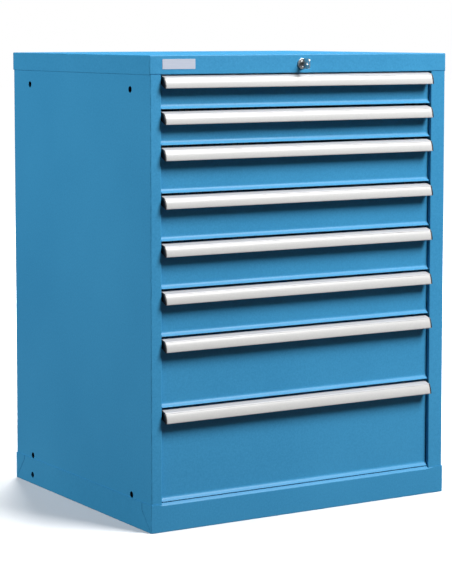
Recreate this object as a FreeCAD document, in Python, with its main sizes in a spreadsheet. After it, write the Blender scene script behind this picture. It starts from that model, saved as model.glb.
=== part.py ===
import FreeCAD, Part

import os
import re

import Sketcher
from FreeCAD import Vector

# Modular drawer cabinet of folded sheet steel, in millimetres.
# X runs along the front, Y to the back and Z up.
# The origin is the middle of the base tray's underside, on the floor.
# Eight drawers, numbered from the top, run on full-extension telescopic runners.
# A central lock in the top cap pushes one bar down behind a catch on every drawer.

DRAWERS = range(1, 9)
UP = "XY_Plane"
FRONT = "XZ_Plane"
SIDE = "YZ_Plane"

# Driving sizes: each is a cell of the sheet, with its name as the alias.
SIZES = {
    # Carcass
    "body_width": (761, "across the two side panels"),
    "body_depth": (643, "front of the stiles to the back of the rear flanges"),
    "carcass_sheet": (1.5, "thickness of the carcass sheet"),
    "cap_height": (40, "height of the top cap"),
    "base_height": (60, "height of the base tray"),
    "left_stile": (25.5, "width of the left stile"),
    "right_stile": (38.5, "width of the right stile"),
    "stile_return": (21.5, "depth of the fold behind the opening's edge"),
    "stile_lip": (15, "width of the last fold inside the stile"),
    "rear_flange": (25, "width of the side panel's rear flange"),
    "corner_radius": (2, "outer radius of the folded corners"),
    "edge_radius": (1.2, "outer radius of the base tray's folded edges"),
    "back_fold": (13.5, "depth of the back panel's side folds"),
    "back_play": (0.5, "gap beside the back panel"),
    "cap_return": (20, "depth of the fold under the cap's front"),
    # Joining holes
    "hole_radius": (7, "radius of the joining holes"),
    "hole_front_setback": (86.5, "front of the body to the front holes"),
    "hole_rear_setback": (84, "back of the body to the rear holes"),
    "hole_top_drop": (32, "underside of the cap to the upper holes"),
    "hole_foot_rise": (67, "floor to the lower holes"),
    "anchor_hole_rise": (21, "floor to the holes in the base tray"),
    # Base tray
    "ledge_drop": (3.5, "top of the base tray to the ledge's bend"),
    "ledge_bevel": (6, "height and depth of the ledge's bevel"),
    "ledge_depth": (23, "front of the base tray to the back of the ledge"),
    "ledge_play": (0.5, "gap between the ledge and the stiles"),
    "ledge_root": (5, "how far the ledge's sheet runs down the front"),
    "seam_width": (0.8, "width of the open seams"),
    "seam_foot": (3, "corner of the base tray to the foot of a seam"),
    "front_tab": (40, "length of the tabs that wrap round from the front"),
    "front_tab_edge": (16, "height of the front tabs' upright edge"),
    "rear_tab": (43, "length of the tabs that wrap round from the back"),
    "rear_tab_edge": (9, "height of the rear tabs' upright edge"),
    # Drawer pitches from the top
    "pitch_1": (75, "height of drawer 1's bay"),
    "pitch_2": (75, "height of drawer 2's bay"),
    "pitch_3": (100, "height of drawer 3's bay"),
    "pitch_4": (100, "height of drawer 4's bay"),
    "pitch_5": (100, "height of drawer 5's bay"),
    "pitch_6": (100, "height of drawer 6's bay"),
    "pitch_7": (150, "height of drawer 7's bay"),
    "pitch_8": (200, "height of drawer 8's bay"),
    # Runner uprights
    "upright_width": (40, "width of an upright"),
    "upright_inset": (6, "opening's edge to the face of the uprights"),
    "slot_pitch": (50, "pitch of the slots in the uprights"),
    "slot_height": (14, "height of a slot"),
    "slot_width": (4, "width of a slot"),
    "slot_start": (30, "foot of the upright to its first slot"),
    # Runners
    "runner_length": (590, "length of every rail"),
    "runner_setback": (39.5, "front of the stiles to the front of the rails"),
    "runner_rise": (14, "foot of a bay to its rails"),
    "rail_height": (36, "height of a C-shaped rail"),
    "rail_depth": (16, "depth of a C-shaped rail"),
    "rail_sheet": (2, "thickness of a C-shaped rail"),
    "beam_flange": (3, "thickness of the middle runner's flanges"),
    "beam_web": (4, "thickness of the middle runner's web"),
    "beam_play": (0.3, "gap above and below the middle runner"),
    "beam_end_play": (0.5, "opening's edge to the side of the middle runner"),
    "runner_width": (47.3, "face of an upright to the side of a tray"),
    # Drawer trays
    "tray_length": (595, "inside length of a tray"),
    "tray_sheet": (1.2, "thickness of a tray's sheet"),
    "tray_rise": (8, "foot of a bay to its tray"),
    "tray_drop": (12, "top of a bay to its tray's rim"),
    "tray_rim": (5, "width of the rim along a tray's sides"),
    # Drawer fronts
    "front_recess": (9, "front of the stiles to the face of the drawers"),
    "front_side_gap": (2, "gap between a drawer front and a stile"),
    "front_top_gap": (1.5, "top of a bay to its drawer front"),
    "front_foot_gap": (3.5, "foot of a bay to its drawer front"),
    "front_sheet": (1.2, "thickness of a drawer front"),
    "front_thickness": (14.5, "depth of a drawer front's folds"),
    "front_lip": (7.5, "height and depth of the lip along the foot"),
    "front_top_fold": (18.5, "height of the fold behind the top"),
    "front_foot_fold": (14.5, "height of the fold behind the foot"),
    # Handles
    "handle_end_gap": (4.6, "opening's edge to the end of a handle"),
    "handle_reach": (22, "how far a handle stands out from the drawer's face"),
    "handle_shoulder": (15.5, "how far its shoulder stands out"),
    "handle_shoulder_drop": (6, "top of a bay to the shoulder"),
    "handle_foot_drop": (28.5, "top of a bay to the handle's lower edge"),
    "handle_wall": (2.2, "wall of the extrusion"),
    "handle_crown": (2.86, "handle's top edge to the hollow beside the leg"),
    "handle_knee": (2.64, "shoulder to the top of the hollow behind it"),
    "handle_leg_drop": (14, "top of a bay to the foot of the fixing leg"),
    "end_cap_thickness": (2.5, "thickness of the end caps"),
    "end_cap_heel_drop": (18, "top of a bay to the heel of the end caps"),
    "channel_depth": (1, "depth of the label channel"),
    "channel_top": (2.4, "shoulder to the label channel"),
    "channel_foot": (2.2, "lower edge to the label channel"),
    "strip_thickness": (0.8, "thickness of a label strip"),
    "strip_play": (0.1, "gap round a label strip"),
    "strip_end_gap": (1, "end of the handle to the end of its strip"),
    # Lock
    "lock_drop": (20, "top of the cap to the lock's axis"),
    "ring_radius": (11.5, "radius of the lock's ring"),
    "ring_thickness": (3, "how far the ring stands out"),
    "ring_bevel": (1, "bevel round the front of the ring"),
    "barrel_radius": (9.5, "radius of the lock's barrel"),
    "barrel_length": (18, "front of the cap to the end of the barrel"),
    "plug_radius": (6.5, "radius of the turning plug"),
    "plug_play": (0.3, "gap round the plug"),
    "plug_front_gap": (0.6, "front of the ring to the face of the plug"),
    "plug_bevel": (0.5, "bevel round the face of the plug"),
    "spigot_radius": (2, "radius of the plug's spigot in the cam"),
    "spigot_play": (0.15, "gap round the spigot"),
    "cam_radius": (8, "radius of the cam's hub"),
    "cam_thickness": (2.5, "thickness of the cam"),
    "pin_radius": (2, "radius of the cam's pin"),
    "pin_end": (1, "how far the pin stands out behind the lock bar"),
    "pin_play": (0.4, "gap round the pin in the lock bar's slot"),
    "bar_travel": (6, "how far the lock bar is pushed down"),
    "key_thickness": (2, "thickness of the key"),
    "blade_height": (7.4, "height of the key's blade"),
    "blade_length": (16, "length of blade inside the plug"),
    "blade_tip": (1.85, "height and depth of the bevels at the blade's tip"),
    "neck_length": (5, "face of the plug to the key's bow"),
    "bow_height": (22, "height of the key's bow"),
    "bow_length": (23, "length of the key's bow"),
    "bow_corner": (5.5, "radius of the bow's two front corners"),
    "bow_hole_radius": (3, "radius of the hole in the bow"),
    "bow_hole_setback": (6, "front of the bow to the middle of its hole"),
    # Lock bar and the drawers' catches
    "bar_sheet": (2, "thickness of the lock bar"),
    "bar_play": (0.3, "gap between the lock bar and the stile"),
    "bar_side_gap": (2.5, "opening's edge to the lock bar"),
    "bar_depth": (11.7, "depth of the upright strip"),
    "bar_arm_setback": (24.5, "front of the stiles to the cross arm"),
    "bar_arm_height": (16, "height of the cross arm"),
    "tooth_length": (9.5, "how far a tooth reaches over the catch"),
    "tooth_setback": (29, "front of the stiles to a tooth"),
    "tooth_height": (7, "height of a tooth"),
    "tooth_lift": (1, "gap between a tooth and the catch below it"),
    "catch_drop": (10, "top of a bay to the top of the catch"),
    "catch_height": (14, "height of the catch"),
    "catch_length": (14.5, "how far the catch reaches behind the front"),
    "notch_play": (2.5, "gap in front of and behind a tooth in its notch"),
    "notch_depth": (9, "depth of the notch in the catch"),
    # Every cut
    "overrun": (1, "how far a cut runs past the face that it opens"),
}

# Places worked out from the sizes. A name here stands for its formula.
PLACES = {
    # Carcass
    "side_face": "body_width / 2",
    "outer_face": "side_face + carcass_sheet",
    "body_front": "-body_depth / 2",
    "body_rear": "body_depth / 2",
    "opening_left": "-side_face + left_stile",
    "opening_right": "side_face - right_stile",
    "opening_middle": "(opening_left + opening_right) / 2",
    "opening_width": "body_width - left_stile - right_stile",
    "cap_foot": "base_height + " + " + ".join(f"pitch_{n}" for n in DRAWERS),
    "cabinet_top": "cap_foot + cap_height",
    "inner_top": "cabinet_top - carcass_sheet",
    "front_holes": "body_front + hole_front_setback",
    "rear_holes": "body_rear - hole_rear_setback",
    "top_holes": "cap_foot - hole_top_drop",
    # Base tray
    "tray_front_face": "body_front - carcass_sheet",
    "tray_rear_face": "body_rear + carcass_sheet",
    "ledge_bend": "base_height - ledge_drop",
    "bend_shift": "carcass_sheet * tan(22.5)",
    # Runners
    "rail_left": "opening_left - upright_inset",
    "rail_right": "opening_right + upright_inset",
    "runner_front": "body_front + runner_setback",
    "rail_top": "runner_rise + rail_height",
    "beam_foot": "runner_rise + rail_sheet + beam_play",
    "beam_top": "rail_top - rail_sheet - beam_play",
    # Drawer fronts and trays
    "drawer_face": "body_front + front_recess",
    "drawer_back": "drawer_face + front_thickness",
    "front_left": "opening_left + front_side_gap",
    "front_right": "opening_right - front_side_gap",
    "tray_half": "opening_width / 2 + upright_inset - runner_width",
    "tray_left": "opening_middle - tray_half",
    "tray_right": "opening_middle + tray_half",
    "tray_rear": "drawer_back + tray_length + 2 * tray_sheet",
    # Handles
    "handle_left": "opening_left + handle_end_gap",
    "handle_right": "opening_right - handle_end_gap",
    "handle_rise": "handle_foot_drop - handle_shoulder_drop",
    "handle_swell": "handle_reach - handle_shoulder",
    "face_radius": "(handle_rise ^ 2 + handle_swell ^ 2) / (2 * handle_swell)",
    "arc_middle": "handle_reach - face_radius",
    "channel_top_drop": "handle_shoulder_drop + channel_top",
    "channel_foot_drop": "handle_foot_drop - channel_foot",
    "knee_drop": "handle_shoulder_drop + handle_knee",
    # Lock
    "lock_height": "cabinet_top - lock_drop",
    "ring_front": "body_front - ring_thickness",
    "barrel_end": "body_front + barrel_length",
    "cam_back": "barrel_end + cam_thickness",
    "pin_throw": "bar_travel / sqrt(2)",
    "pin_side": "bar_travel / 2",
    "arm_front": "body_front + bar_arm_setback",
    "arm_back": "arm_front + bar_sheet",
    "bar_left": "opening_right + bar_side_gap",
    "bar_front": "body_front + stile_return + bar_play",
    "tooth_front": "body_front + tooth_setback",
    "tooth_back": "tooth_front + bar_sheet",
    "plug_face": "ring_front + plug_front_gap",
}

# How near a vertex lies to a line that it counts as on, and the least that a cut removes.
NEARNESS = 0.001
LEAST_CUT = 0.01

doc = FreeCAD.newDocument("drawer_cabinet")


def write_sizes():
    """One row for each driving size: its note, its number and its alias."""
    sheet = doc.addObject("Spreadsheet::Sheet", "dims")
    for row, (name, (number, note)) in enumerate(SIZES.items(), start=1):
        sheet.set(f"A{row}", note)
        sheet.set(f"B{row}", str(number))
        sheet.setAlias(f"B{row}", name)
    doc.recompute()
    return sheet


def cells(formula):
    """The formula with every size and place in it turned into references to cells."""

    def spelled(word):
        name = word.group(0)
        if name in SIZES:
            return "dims." + name
        if name in PLACES:
            return "(" + cells(PLACES[name]) + ")"
        return name

    return re.sub(r"[a-z][a-z_0-9]*", spelled, str(formula))


sheet = write_sizes()


def value(formula):
    """What the formula comes to now, as a plain number."""
    return float(sheet.evalExpression(cells(formula)))


def bay_foot(drawer):
    """Height of the foot of a drawer's bay: the base tray and the bays below it."""
    below = [f"pitch_{n}" for n in DRAWERS if n > drawer]
    return " + ".join(["base_height"] + below)


def bay_top(drawer):
    """Height of the top of a drawer's bay."""
    return f"{bay_foot(drawer)} + pitch_{drawer}"


# Sketches and features


def new_body(name, raised_by=None):
    """An empty body, lifted by a formula where its sketches start from a bay."""
    body = doc.addObject("PartDesign::Body", name)
    body.Label = name
    if raised_by is not None:
        body.setExpression("Placement.Base.z", cells(raised_by))
    return body


def new_sketch(body, name, plane, offset="0"):
    """A sketch on one of the body's own planes, moved along that plane's normal.

    The normals are +Z for UP, -Y for FRONT and +X for SIDE.
    """
    sketch = body.newObject("Sketcher::SketchObject", name)
    origin = [f for f in body.Origin.OriginFeatures if f.Role == plane][0]
    sketch.AttachmentSupport = [(origin, "")]
    sketch.MapMode = "FlatFace"
    if offset != "0":
        sketch.setExpression("AttachmentOffset.Base.z", cells(offset))
    return sketch


def arc_centre(start, finish, radius, side):
    """Centre of the arc between two points, on the left (1) or right (-1) of the way."""
    chord = finish - start
    across = Vector(-chord.y, chord.x, 0).normalize()
    rise = (radius**2 - (chord.Length / 2) ** 2) ** 0.5
    return (start + finish) * 0.5 + across * rise * side


def outline(sketch, corners, arcs=None):
    """Draws a closed outline and ties each corner to its two formulas.

    arcs gives, for the number of a corner, the radius of the arc that leaves it
    and the side on which that arc's centre lies.
    """
    arcs = arcs or {}
    first = sketch.GeometryCount
    points = [Vector(value(across), value(up), 0) for across, up in corners]
    edges = []
    ends = []
    for number, start in enumerate(points):
        finish = points[(number + 1) % len(points)]
        geometry = first + number
        if number not in arcs:
            edges.append(Part.LineSegment(start, finish))
            ends.append(((geometry, 1), (geometry, 2)))
            continue
        radius, side = arcs[number]
        centre = arc_centre(start, finish, value(radius), side)
        circle = Part.Circle(centre, Vector(0, 0, 1), value(radius))
        if side > 0:
            span = (start, finish)
            ends.append(((geometry, 1), (geometry, 2)))
        else:
            span = (finish, start)
            ends.append(((geometry, 2), (geometry, 1)))
        edges.append(Part.ArcOfCircle(circle, *(circle.parameter(p) for p in span)))
    sketch.addGeometry(edges, False)

    rules = []
    formulas = []
    for number, (across, up) in enumerate(corners):
        start = ends[number][0]
        before = ends[number - 1][1]
        point = points[number]
        rules.append(Sketcher.Constraint("Coincident", *before, *start))
        formulas.append(None)
        rules.append(Sketcher.Constraint("DistanceX", -1, 1, *start, point.x))
        formulas.append(across)
        rules.append(Sketcher.Constraint("DistanceY", -1, 1, *start, point.y))
        formulas.append(up)
    for number, (radius, side) in arcs.items():
        geometry = first + number
        rules.append(Sketcher.Constraint("Radius", geometry, value(radius)))
        formulas.append(radius)
    tie(sketch, rules, formulas)


def circle(sketch, across, up, radius):
    """Draws a circle with its middle and radius tied to formulas."""
    geometry = sketch.GeometryCount
    centre = Vector(value(across), value(up), 0)
    sketch.addGeometry(Part.Circle(centre, Vector(0, 0, 1), value(radius)), False)
    rules = [
        Sketcher.Constraint("DistanceX", -1, 1, geometry, 3, centre.x),
        Sketcher.Constraint("DistanceY", -1, 1, geometry, 3, centre.y),
        Sketcher.Constraint("Radius", geometry, value(radius)),
    ]
    tie(sketch, rules, [across, up, radius])


def tie(sketch, rules, formulas):
    """Adds constraints and binds each one that has a formula."""
    numbers = sketch.addConstraint(rules)
    for number, formula in zip(numbers, formulas):
        if formula is not None:
            sketch.setExpression(f"Constraints[{number}]", cells(formula))


def rectangle(sketch, left, right, low, high):
    """A rectangle between two formulas across and two up."""
    outline(sketch, [(left, low), (right, low), (right, high), (left, high)])


def pad(body, sketch, length, name):
    """Adds the sketch's outline, carried along its plane's normal."""
    feature = body.newObject("PartDesign::Pad", name)
    feature.Profile = sketch
    feature.setExpression("Length", cells(length))
    return feature


def pocket(body, sketch, length, name, along_normal):
    """Cuts the sketch's outline away, along its plane's normal or against it."""
    feature = body.newObject("PartDesign::Pocket", name)
    feature.Profile = sketch
    feature.setExpression("Length", cells(length))
    feature.Reversed = along_normal
    return feature


def join(name, bodies):
    """Puts bodies that are riveted or welded together in one group of separate solids."""
    group = doc.addObject("Part::Compound", name)
    group.Label = name
    group.Links = bodies


def fillet(body, base, radius, name, lines):
    """Rounds the edges of the base that lie on any of the given lines.

    A line is two fixed coordinates, such as {"x": "-side_face", "y": "body_front"}.
    """
    doc.recompute()
    wanted = [{axis: value(place) for axis, place in line.items()} for line in lines]
    chosen = []
    for number, edge in enumerate(base.Shape.Edges, start=1):
        ends = [vertex.Point for vertex in edge.Vertexes]
        for line in wanted:
            if all(abs(getattr(p, a) - at) < NEARNESS for p in ends for a, at in line.items()):
                chosen.append(f"Edge{number}")
    feature = body.newObject("PartDesign::Fillet", name)
    feature.Base = (base, chosen)
    feature.setExpression("Radius", cells(radius))
    return feature


# Carcass


def build_side_panel(name, hand, stile):
    """One sheet folded four times: rear flange, side, stile, return and inner lip.

    hand is -1 for the left panel and 1 for the right one.
    """
    body = new_body(name)
    outside = f"{hand} * side_face"
    inside = f"{hand} * (side_face - carcass_sheet)"
    opening = f"{hand} * (side_face - {stile})"
    return_back = f"{hand} * (side_face - {stile} + carcass_sheet)"
    lip_end = f"{hand} * (side_face - {stile} + stile_lip)"
    flange_end = f"{hand} * (side_face - rear_flange)"
    plan = new_sketch(body, name + "_plan", UP, "carcass_sheet")
    corners = [
        (outside, "body_front"),
        (opening, "body_front"),
        (opening, "body_front + stile_return"),
        (lip_end, "body_front + stile_return"),
        (lip_end, "body_front + stile_return - carcass_sheet"),
        (return_back, "body_front + stile_return - carcass_sheet"),
        (return_back, "body_front + carcass_sheet"),
        (inside, "body_front + carcass_sheet"),
        (inside, "body_rear - carcass_sheet"),
        (flange_end, "body_rear - carcass_sheet"),
        (flange_end, "body_rear"),
        (outside, "body_rear"),
    ]
    outline(plan, corners)
    sheet_pad = pad(body, plan, "inner_top - carcass_sheet", name + "_fold")
    corner = {"x": outside, "y": "body_front"}
    fillet(body, sheet_pad, "corner_radius", name + "_corner", [corner])

    # The stile ends under the cap, whose front stands flush on it.
    notch = new_sketch(body, name + "_notch", UP, "cap_foot")
    reach = f"{hand} * (side_face + overrun)"
    past_lip = f"{hand} * (side_face - {stile} - overrun)"
    corners = [
        (reach, "body_front - overrun"),
        (past_lip, "body_front - overrun"),
        (past_lip, "body_front + stile_return + overrun"),
        (inside, "body_front + stile_return + overrun"),
        (inside, "body_front + carcass_sheet"),
        (reach, "body_front + carcass_sheet"),
    ]
    outline(notch, corners)
    pocket(body, notch, "cap_height", name + "_stile_top", True)

    holes = new_sketch(body, name + "_holes", SIDE, outside)
    for along in ("front_holes", "rear_holes"):
        for up in ("hole_foot_rise", "top_holes"):
            circle(holes, along, up, "hole_radius")
    pocket(body, holes, "carcass_sheet", name + "_joining_holes", hand < 0)


def build_back_panel():
    """A flat sheet with its two upright edges folded forward."""
    body = new_body("back_panel")
    edge = "(side_face - carcass_sheet - back_play)"
    back = "body_rear - carcass_sheet"
    face = "body_rear - 2 * carcass_sheet"
    fold_end = "body_rear - 2 * carcass_sheet - back_fold"
    plan = new_sketch(body, "back_plan", UP, "carcass_sheet")
    corners = [
        (f"-{edge}", back),
        (f"-{edge}", fold_end),
        (f"-{edge} + carcass_sheet", fold_end),
        (f"-{edge} + carcass_sheet", face),
        (f"{edge} - carcass_sheet", face),
        (f"{edge} - carcass_sheet", fold_end),
        (edge, fold_end),
        (edge, back),
    ]
    outline(plan, corners)
    pad(body, plan, "inner_top - carcass_sheet", "back_fold_pad")


def build_top_cap():
    """A tray lid: it laps over the sides and the back, and its front is flush."""
    body = new_body("top_cap")
    block = new_sketch(body, "cap_plan", UP, "cap_foot")
    rectangle(block, "-outer_face", "outer_face", "body_front", "tray_rear_face")
    lid = pad(body, block, "cap_height", "cap_block")
    edges = [
        {"x": "-outer_face", "y": "body_front"},
        {"x": "outer_face", "y": "body_front"},
        {"x": "-outer_face", "y": "tray_rear_face"},
        {"x": "outer_face", "y": "tray_rear_face"},
        {"z": "cabinet_top", "y": "body_front"},
        {"z": "cabinet_top", "y": "tray_rear_face"},
        {"z": "cabinet_top", "x": "-outer_face"},
        {"z": "cabinet_top", "x": "outer_face"},
    ]
    fillet(body, lid, "corner_radius", "cap_corners", edges)
    hollow = new_sketch(body, "cap_inside", UP, "cap_foot")
    rectangle(hollow, "-side_face", "side_face", "body_front + carcass_sheet", "body_rear")
    pocket(body, hollow, "cap_height - carcass_sheet", "cap_hollow", True)

    # The fold under the front lies on the stiles and closes the opening's top edge.
    fold = new_sketch(body, "cap_fold", UP, "cap_foot")
    edge = "(side_face - carcass_sheet - back_play)"
    rectangle(fold, f"-{edge}", edge, "body_front", "body_front + carcass_sheet + cap_return")
    pad(body, fold, "carcass_sheet", "cap_front_fold")

    hole = new_sketch(body, "cap_lock_hole", FRONT, "-body_front")
    circle(hole, "opening_middle", "lock_height", "barrel_radius")
    pocket(body, hole, "carcass_sheet", "cap_lock_opening", False)


def build_base_tray():
    """A pan under the carcass with its edges folded up outside the sides and back."""
    body = new_body("base_tray")
    block = new_sketch(body, "base_plan", UP)
    rectangle(block, "-outer_face", "outer_face", "tray_front_face", "tray_rear_face")
    tray = pad(body, block, "base_height", "base_block")
    edges = [
        {"x": "-outer_face", "y": "tray_front_face"},
        {"x": "outer_face", "y": "tray_front_face"},
        {"x": "-outer_face", "y": "tray_rear_face"},
        {"x": "outer_face", "y": "tray_rear_face"},
        {"z": "0", "y": "tray_front_face"},
        {"z": "0", "y": "tray_rear_face"},
        {"z": "0", "x": "-outer_face"},
        {"z": "0", "x": "outer_face"},
    ]
    fillet(body, tray, "edge_radius", "base_edges", edges)
    hollow = new_sketch(body, "base_inside", UP, "carcass_sheet")
    rectangle(hollow, "-side_face", "side_face", "body_front", "body_rear")
    pocket(body, hollow, "base_height", "base_hollow", True)

    # Between the stiles the front is folded back as a bevelled ledge.
    ledge_left = "(opening_left + ledge_play)"
    ledge_right = "(opening_right - ledge_play)"
    gap = new_sketch(body, "base_front_gap", FRONT, "-body_front")
    rectangle(gap, ledge_left, ledge_right, "ledge_bend", "base_height + overrun")
    pocket(body, gap, "carcass_sheet", "base_front_cut", True)
    ledge_top = "ledge_bend + ledge_bevel"
    ledge_start = "tray_front_face + ledge_bevel"
    ledge_back = "tray_front_face + ledge_depth"
    section = new_sketch(body, "base_ledge_section", SIDE, ledge_left)
    corners = [
        ("tray_front_face", "ledge_bend - ledge_root"),
        ("body_front", "ledge_bend - ledge_root"),
        ("body_front", "ledge_bend - bend_shift"),
        (f"{ledge_start} + bend_shift", f"{ledge_top} - carcass_sheet"),
        (ledge_back, f"{ledge_top} - carcass_sheet"),
        (ledge_back, ledge_top),
        (ledge_start, ledge_top),
        ("tray_front_face", "ledge_bend"),
    ]
    outline(section, corners)
    pad(body, section, f"{ledge_right} - {ledge_left}", "base_ledge")

    # Open seams where the front and rear flanges wrap round onto the sides:
    # upright for a short way, then slanting down to the corner.
    seams = new_sketch(body, "base_seams", SIDE, "-outer_face - overrun")
    for end, inward, tab, edge in (
        ("tray_front_face", 1, "front_tab", "front_tab_edge"),
        ("tray_rear_face", -1, "rear_tab", "rear_tab_edge"),
    ):
        near = f"{end} + {inward} * {tab}"
        far = f"{near} + {inward} * seam_width"
        knee = f"base_height - {edge}"
        corners = [
            (near, "base_height + overrun"),
            (near, knee),
            (f"{end} + {inward} * seam_foot", "seam_foot"),
            (f"{end} + {inward} * (seam_foot + seam_width)", "seam_foot"),
            (far, knee),
            (far, "base_height + overrun"),
        ]
        outline(seams, corners)
    pocket(body, seams, "2 * (outer_face + overrun)", "base_seam_cuts", True)

    anchors = new_sketch(body, "base_anchor_holes", SIDE, "-outer_face - overrun")
    circle(anchors, "rear_holes", "anchor_hole_rise", "hole_radius")
    pocket(body, anchors, "2 * (outer_face + overrun)", "base_anchor_cuts", True)


def build_runner_uprights():
    """Four upright channels welded inside the sides, with a row of slots each.

    The channel is deeper on the right, so that both sets of runners stand
    level with the edges of the opening.
    """
    body = new_body("runner_uprights")
    plan = new_sketch(body, "upright_plan", UP, "carcass_sheet")
    for hand, edge in ((-1, "opening_left"), (1, "opening_right")):
        face = f"{edge} + {hand} * upright_inset"
        web = f"{face} + {hand} * carcass_sheet"
        wall = f"{hand} * (side_face - carcass_sheet)"
        for middle in ("front_holes", "rear_holes"):
            low = f"{middle} - upright_width / 2"
            high = f"{middle} + upright_width / 2"
            corners = [
                (wall, low),
                (face, low),
                (face, high),
                (wall, high),
                (wall, f"{high} - carcass_sheet"),
                (web, f"{high} - carcass_sheet"),
                (web, f"{low} + carcass_sheet"),
                (wall, f"{low} + carcass_sheet"),
            ]
            outline(plan, corners)
    pad(body, plan, "inner_top - carcass_sheet", "upright_channels")

    slot = new_sketch(body, "upright_slot", SIDE, "-side_face")
    for middle in ("front_holes", "rear_holes"):
        low = "carcass_sheet + slot_start"
        rectangle(
            slot,
            f"{middle} - slot_width / 2",
            f"{middle} + slot_width / 2",
            low,
            f"{low} + slot_height",
        )
    first = pocket(body, slot, "body_width", "upright_first_slots", True)
    row = body.newObject("PartDesign::LinearPattern", "upright_slots")
    row.Originals = [first]
    row.Direction = (slot, ["V_Axis"])
    steps = "floor((inner_top - slot_start - slot_height - 2 * carcass_sheet) / slot_pitch)"
    row.setExpression("Length", cells(f"{steps} * slot_pitch"))
    row.setExpression("Occurrences", cells(f"{steps} + 1"))
    body.Tip = row


# Runners


def channel(sketch, back, inward, low, high):
    """A C-shaped rail's section, open on the side that inward (1 or -1) points to."""
    inner = f"{back} + {inward} * rail_sheet"
    mouth = f"{back} + {inward} * rail_depth"
    corners = [
        (back, low),
        (mouth, low),
        (mouth, f"{low} + rail_sheet"),
        (inner, f"{low} + rail_sheet"),
        (inner, f"{high} - rail_sheet"),
        (mouth, f"{high} - rail_sheet"),
        (mouth, high),
        (back, high),
    ]
    outline(sketch, corners)


def build_fixed_runners():
    """The rails that hang on the uprights, two to each bay."""
    pairs = []
    for drawer in DRAWERS:
        pair = new_body(f"fixed_pair_{drawer}", bay_foot(drawer))
        section = new_sketch(pair, f"fixed_section_{drawer}", FRONT, "-runner_front")
        channel(section, "rail_left", 1, "runner_rise", "rail_top")
        channel(section, "rail_right", -1, "runner_rise", "rail_top")
        rails = pad(pair, section, "runner_length", f"fixed_rails_{drawer}")
        rails.Reversed = True
        pairs.append(pair)
    join("fixed_runners", pairs)


def build_middle_runners(drawer):
    """Two I-shaped beams, one each side, that run between the two rails.

    Each beam just clears the edge of the opening, and is as far from the tray
    as it is from the upright.
    """
    body = new_body(f"drawer_{drawer}_middle_runners", bay_foot(drawer))
    section = new_sketch(body, f"beam_section_{drawer}", FRONT, "-runner_front")
    for edge, rail, tray, outward in (
        ("opening_left", "rail_left", "tray_left", -1),
        ("opening_right", "rail_right", "tray_right", 1),
    ):
        outer = f"{edge} - {outward} * beam_end_play"
        inner = f"{rail} + {tray} - ({outer})"
        middle = f"({rail} + {tray}) / 2"
        web_out = f"{middle} + {outward} * beam_web / 2"
        web_in = f"{middle} - {outward} * beam_web / 2"
        corners = [
            (inner, "beam_foot"),
            (outer, "beam_foot"),
            (outer, "beam_foot + beam_flange"),
            (web_out, "beam_foot + beam_flange"),
            (web_out, "beam_top - beam_flange"),
            (outer, "beam_top - beam_flange"),
            (outer, "beam_top"),
            (inner, "beam_top"),
            (inner, "beam_top - beam_flange"),
            (web_in, "beam_top - beam_flange"),
            (web_in, "beam_foot + beam_flange"),
            (inner, "beam_foot + beam_flange"),
        ]
        outline(section, corners)
    beams = pad(body, section, "runner_length", f"beams_{drawer}")
    beams.Reversed = True


# Drawers


def build_tray(drawer):
    """A folded box with a rim along each side, and a rail riveted under each rim."""
    body = new_body(f"tray_box_{drawer}", bay_foot(drawer))
    rim = f"pitch_{drawer} - tray_drop"
    plan = new_sketch(body, f"tray_plan_{drawer}", UP, "tray_rise")
    rectangle(plan, "tray_left", "tray_right", "drawer_back", "tray_rear")
    pad(body, plan, f"{rim} - tray_rise", f"tray_block_{drawer}")
    rims = new_sketch(body, f"tray_rims_{drawer}", UP, f"{rim} - tray_sheet")
    rectangle(
        rims,
        "tray_left - tray_rim",
        "tray_right + tray_rim",
        "drawer_back",
        "tray_rear",
    )
    pad(body, rims, "tray_sheet", f"tray_rim_{drawer}")
    hollow = new_sketch(body, f"tray_inside_{drawer}", UP, "tray_rise + tray_sheet")
    rectangle(
        hollow,
        "tray_left + tray_sheet",
        "tray_right - tray_sheet",
        "drawer_back + tray_sheet",
        "tray_rear - tray_sheet",
    )
    pocket(body, hollow, f"{rim} - tray_rise", f"tray_hollow_{drawer}", True)

    rails = new_body(f"tray_rails_{drawer}", bay_foot(drawer))
    section = new_sketch(rails, f"tray_rail_section_{drawer}", FRONT, "-runner_front")
    channel(section, "tray_left", -1, "runner_rise", "rail_top")
    channel(section, "tray_right", 1, "runner_rise", "rail_top")
    rail_pad = pad(rails, section, "runner_length", f"tray_rail_pad_{drawer}")
    rail_pad.Reversed = True
    join(f"drawer_{drawer}_tray", [body, rails])


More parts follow.
